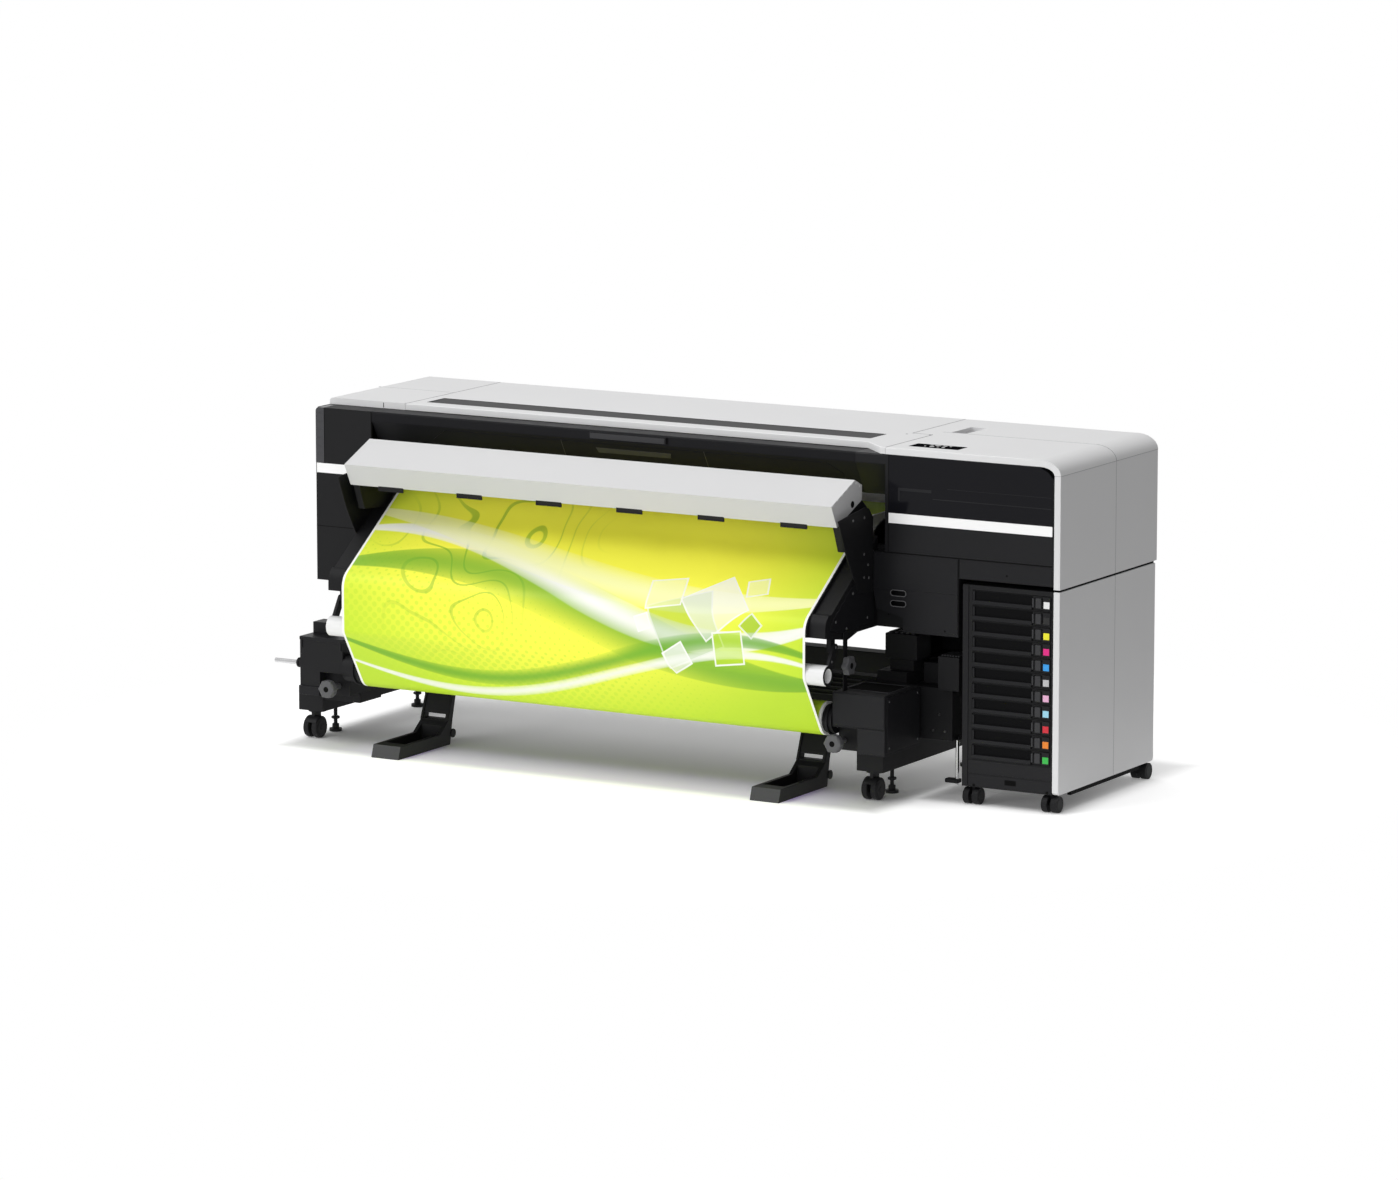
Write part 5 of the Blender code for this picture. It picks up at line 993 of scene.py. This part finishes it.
def dressTakeUp():
    ahead = takeUp["front"]
    a0, a1 = takeUp["leftX"]
    b0, b1 = takeUp["rightX"]
    dress("take_up_block_left", "blackMoulded", edge=0.0025, steps=3, other="chromeRod",
          rule=lambda spot, facing: spot.x < a0 - 0.0305)
    dress("take_up_block_right", "blackMoulded", edge=0.0025, steps=3)
    steps = [i * 0.0095 for i in range(3)]
    collar = [(addRod, "X", rolls["takeUp"], 0.030 + step, 0.037 + step, 0.0155) for step in steps]
    makePiece("shaftCollar", "blackMoulded", collar, edge=0.001)
    for side in ("left", "right"):
        node = f"knob_{side}"
        low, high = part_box(node)
        centre = ((low.x + high.x) / 2 - bodyLeft, (low.z + high.z) / 2)
        face = low.y - bodyFront
        dress(node, "knobGrey", edge=0.0008)
        addKnob(f"knob{side.title()}Lobes", "Y", centre, face - 0.0006, face + 0.0218, takeUp["knob"],
                bodyOf(node))
    makePiece("blockTrim", "blackSatin", [  # cap, foot and corner strips of both blocks
        ((a0 - 0.0015, a1 + 0.0015), (ahead - 0.0015, 0.0315), (0.330, 0.3408)),
        ((a0 - 0.0035, a0 + 0.072), (ahead - 0.004, 0.028), (0.158, 0.186)),
        ((a0 + 0.003, a0 + 0.057), (-0.120, -0.060), (0.3405, 0.376)),
        *[((x, x + 0.006), (ahead - 0.003, ahead + 0.002), (0.305, 0.334)) for x in (a0 + 0.004, a1 - 0.010)],
        ((b0 + 0.087, b1 + 0.001), (ahead - 0.0025, ahead + 0.002), (0.160, 0.236)),
        ((b0 + 0.0015, b1 - 0.0015), (ahead - 0.0020, ahead + 0.002), (0.2385, 0.3365)),
        ((b1 - 0.002, b1 + 0.002), (ahead + 0.012, 0.024), (0.166, 0.332)),
    ], edge=0.0015)
    makePiece("railBox", "blackPowder", [((1.620, 1.9705), (0.035, 0.085), (0.215, 0.349))], edge=0.0015)
    addSlots("railHoles")
    # painted shade: a thin black slab stands for the pocket's shaded inside
    pocket = ((b0 + 0.016, b1 - 0.016), (ahead + 0.055, -0.012), (0.3385, 0.3398))
    makePiece("blockPocket", "holeShadeAndSeamBlack", [pocket], edge=0.0004)
    ends = ((b0 + 0.012, b0 + 0.016), (b1 - 0.016, b1 - 0.012))
    lip = [(x, (ahead + 0.051, -0.008), (0.3385, 0.3412)) for x in ends]
    lip += [((b0 + 0.0125, b1 - 0.0125), (y, y + 0.004), (0.3385, 0.3411)) for y in (ahead + 0.051, -0.012)]
    makePiece("pocketLip", "edgeGrey", lip, edge=0.0008)
    marks = [((b1 + 0.002, y, z), right) for y in takeUp["screwY"] for z in (0.18, 0.32)]
    addScrews("blockScrews", marks + [((a0, y, z), left) for y in takeUp["screwY"] for z in (0.20, 0.31)])


dressHeater()
dressTakeUp()
print("take-up ready")


# Stand, casters, feet and the drive parts beside the right leg
stand = {
    "legX": {"left": 0.034, "right": 2.020}, "casterY": {"front": -0.058, "rear": 0.625},
    "axleZ": 0.033, "trail": 0.014, "casterHalf": 0.025, "hub": 0.0235, "cap": 0.008,
    "arch": (0.0355, 0.0338), "rod": (2.2065, 0.11),
    "pedal": [((2.170, 2.215), (0.097, 0.123), (0.037, 0.050)),
              ((2.194, 2.219), (0.098, 0.122), (0.168, 0.182))],
    "driveBoxes": [  # brackets between the right leg and the cabinet
        ((1.986, 2.094), (0.060, 0.150), (0.405, 0.482)), ((2.000, 2.080), (0.065, 0.145), (0.3705, 0.405)),
        ((2.068, 2.215), (0.060, 0.300), (0.172, 0.330)), ((2.180, 2.252), (0.030, 0.120), (0.330, 0.432)),
        ((2.090, 2.170), (0.110, 0.260), (0.330, 0.395)), ((1.985, 2.110), (0.180, 0.330), (0.3705, 0.398)),
        ((2.030, 2.250), (0.320, 0.420), (0.395, 0.500)),
    ],
}


def dressCaster(end, side):
    s = stand
    x, half, label = s["legX"][side], s["casterHalf"], end.title() + side.title()
    kinds = ("caster_fork", "caster_wheels", "levelling_foot")
    fork, wheels, foot = [f"{kind}_{end}_{side}" for kind in kinds]
    axle = (s["casterY"][end] + (-s["trail"] if end == "front" else s["trail"]), s["axleZ"])
    dress(fork, "blackMoulded", edge=0.0005, merge=False)
    dress(wheels, "wheelRubber", edge=0.0035, steps=4)
    hubs = []
    for sign in (-1, 1):
        face = x + sign * half
        hubs.append((addRod, "X", axle, *outward(face, sign, 0.0008, 0.003), s["hub"]))
        hubs.append((addRod, "X", axle, *outward(face, sign, 0.0022, 0.0), s["cap"]))
    makePiece(f"casterHubs{label}", "blackMoulded", hubs, bodyOf(wheels), edge=0.0008)
    outside, inside = s["arch"]  # guard over the wheel pair
    arch = arc(axle, outside, 30, 150, 12) + arc(axle, inside, 150, 30, 12)
    guard = (addPrism, "X", arch, x - half + 0.003, x + half - 0.003)
    makePiece(f"casterGuard{label}", "blackMoulded", [guard], bodyOf(fork), edge=0.0006)
    dress(foot, "blackMoulded")
    middle = (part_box(foot)[0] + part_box(foot)[1]) / 2 - at(0.0, 0.0, 0.0)
    nut = (addRod, "Z", middle.xy, 0.040, 0.048, 0.0135, 6)
    makePiece(f"footNut{label}", "blackMoulded", [nut], bodyOf(foot), edge=0.0012)


def dressStand():
    for node in ("left_leg", "right_leg", "rear_beam"):
        dress(node, "blackPowder", edge=0.003, steps=3)
    for side in stand["legX"]:
        for end in stand["casterY"]:
            dressCaster(end, side)
    makePiece("driveBoxes", "blackPowder", stand["driveBoxes"], edge=0.003)
    ribs = [((2.188 + i * 0.009, 2.193 + i * 0.009), (0.040, 0.110), (0.432, 0.4365)) for i in range(7)]
    ribs += [((1.996 + i * 0.019, 2.006 + i * 0.019), (0.066, 0.144), (0.482, 0.4865)) for i in range(5)]
    makePiece("driveRibs", "edgeGrey", ribs, edge=0.0008)
    marks = [((2.15 + i * 0.02, 0.06, 0.20 + 0.05 * (i % 2)), front) for i in range(3)]
    addScrews("driveScrews", marks, radius=0.0045)
    makePiece("pedalRod", "chromeRod", [(addRod, "Z", stand["rod"], 0.032, 0.178, 0.0055)], edge=0.0008)
    makePiece("pedal", "blackMoulded", stand["pedal"], edge=0.003, steps=3)


dressStand()
print("stand ready")


# Ink cabinet: white side skin, tray fronts with ledges, grips and label chips
cabinet = {
    "left": 2.279, "right": 2.600, "skin": 0.0215, "bottom": 0.055, "top": 0.662, "back": 0.635,
    "round": 0.012, "trayX": (2.3125, 2.5715), "firstTop": 0.647, "pitch": 0.0464, "tall": 0.042, "trays": 11,
    "grip": (2.511, 2.544), "chip": (2.548, 2.5675), "hub": 0.017, "hubZ": 0.025, "casterHalf": 0.025,
    "casterX": {"left": 2.309, "right": 2.570}, "axleY": {"front": 0.02, "rear": 0.615},
}


def dressTray(count):
    c = cabinet
    (x0, x1), (g0, g1) = c["trayX"], c["grip"]
    node, label = f"ink_tray_{count:02d}", f"{count:02d}"
    floor = c["firstTop"] - (count - 1) * c["pitch"] - c["tall"]

    def trayPiece(name, finish, parts, edge):
        raised = [(x, y, (floor + low, floor + high)) for x, y, (low, high) in parts]
        makePiece(name + label, finish, raised, bodyOf(node), edge)

    dress(node, "blackMoulded", edge=0.0008)
    trayPiece("trayRails", "blackSatin", [  # raised rails round a shadowed recess
        ((x0 + 0.001, g0 - 0.001), (-0.0050, 0.003), (0.001, 0.0125)),
        ((x0 + 0.001, x0 + 0.008), (-0.0030, 0.003), (0.0125, 0.040)),
        ((g1 + 0.001, x1 - 0.001), (-0.0026, 0.003), (0.001, 0.040))], 0.0008)
    # painted shade: the recess is coloured in the darkest black
    recess = ((x0 + 0.008, g0 - 0.002), (0.0006, 0.003), (0.0125, 0.040))
    trayPiece("trayRecess", "recessShadeBlack", [recess], 0.0)
    trayPiece("trayGrip", "edgeGrey", [
        ((g0 + 0.001, g0 + 0.007), (-0.0075, 0.002), (0.008, 0.035)),
        ((g0 + 0.012, g1 - 0.003), (-0.0062, 0.002), (0.006, 0.036))], 0.0012)
    trayPiece("trayChip", "chip" + label, [(c["chip"], (-0.0034, -0.0020), (0.0065, 0.0265))], 0.0004)


def dressCabinet():
    c = cabinet
    bottom, top, end = c["bottom"], c["top"], c["right"]
    edge = end - c["skin"]

    def narrow(shape):
        for vert in shape.verts:
            if vert.co.x - bodyLeft > end - 0.0005:
                vert.co.x = edge - 0.0004 + bodyLeft

    dress("ink_cabinet", "blackMoulded", edge=0.0006, reshape=narrow, merge=False)
    bend = c["round"]
    outline = arc((bend, bottom + bend), bend, 180, 270, 6)
    outline += arc((c["back"] - bend, bottom + bend), bend, 270, 360, 6) + [(c["back"], top), (0.0, top)]
    skin = makePiece("cabinetSkin", "whiteShell", [(addPrism, "X", outline, edge, end)], edge=0.002, steps=3)
    seam = ((end - 0.001, end + shell["proud"]), span(shell["seamY"], shell["seamHalf"]), (bottom, top))
    makePiece("cabinetSeam", "shellSeam", [seam])
    makePiece("cabinetGaps", "recessShadeBlack", [  # shadow gap above the skin, a black strip as painted shade, and the real dark sill rail below it in the same black
        ((edge, end - 0.004), (0.004, c["back"] - 0.004), (top + 0.0004, 0.6682)),
        ((end - 0.016, end - 0.004), (0.090, 0.545), (0.042, bottom - 0.0003))], edge=0.0004)
    panel = (c["left"] + 0.022, edge - 0.001)
    makePiece("cabinetFrontTrim", "blackSatin", [  # frame strip and the lower panels of the front
        ((c["left"] + 0.001, c["left"] + 0.020), (-0.0022, 0.002), (0.058, 0.6605)),
        (panel, (-0.0018, 0.002), (0.0975, 0.1370)),
        (panel, (-0.0010, 0.002), (0.0575, 0.0935))], edge=0.0008)
    # painted shade: a black block and two black discs stand for openings in the lower front
    makePiece("cabinetPocket", "holeShadeAndSeamBlack", [
        ((2.4225, 2.460), (-0.0012, 0.001), (0.070, 0.086)),
        *[(addRod, "Y", (x, 0.061), -0.0026, 0.001, 0.004) for x in (2.320, 2.563)]], edge=0.0003)
    for count in range(c["trays"]):
        dressTray(count + 1)
    for side, x in c["casterX"].items():
        for far, y in c["axleY"].items():
            node = f"cabinet_caster_{far}_{side}"
            dress(node, "wheelRubber", edge=0.0025, steps=3)
            faces = [outward(x + sign * c["casterHalf"], sign, 0.0008, 0.003) for sign in (-1, 1)]
            hubs = [(addRod, "X", (y, c["hubZ"]), *face, c["hub"]) for face in faces]
            name = f"cabinetHubs{far.title()}{side.title()}"
            makePiece(name, "blackMoulded", hubs, bodyOf(node), edge=0.0006)
    addSlots("cabinetVents")
    marks = [((x, c["back"], z), back) for x in (2.30, 2.56) for z in (0.09, 0.36, 0.63)]
    marks += [((c["left"], y, z), left) for y in (0.04, 0.32, 0.60) for z in (0.10, 0.62)]
    addScrews("cabinetScrews", marks)


dressCabinet()
print("cabinet ready")

rest = {
    "tip": -0.2075, "pivot": (0.046, 0.034),
    "rib": [(0.012, 0.076), (0.054, 0.186), (0.062, 0.186), (0.020, 0.076)],
}


def dressRests():
    for side in ("left", "right"):
        node = f"roll_rest_{side}"
        dress(node, "blackMoulded", edge=0.002, steps=3, other="tipGrey",
              rule=lambda spot, facing: spot.y < rest["tip"])
        x0, x1 = [corner.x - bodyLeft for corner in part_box(node)]
        ribs = [(addPrism, "X", rest["rib"], x, x + 0.008) for x in (x0 + 0.001, x1 - 0.009)]
        ribs += [(addRod, "X", rest["pivot"], *span(x, 0.003), 0.014) for x in (x0, x1)]
        makePiece(f"restRibs_{side}", "blackMoulded", ribs, edge=0.0015)


dressRests()
print("rests ready")
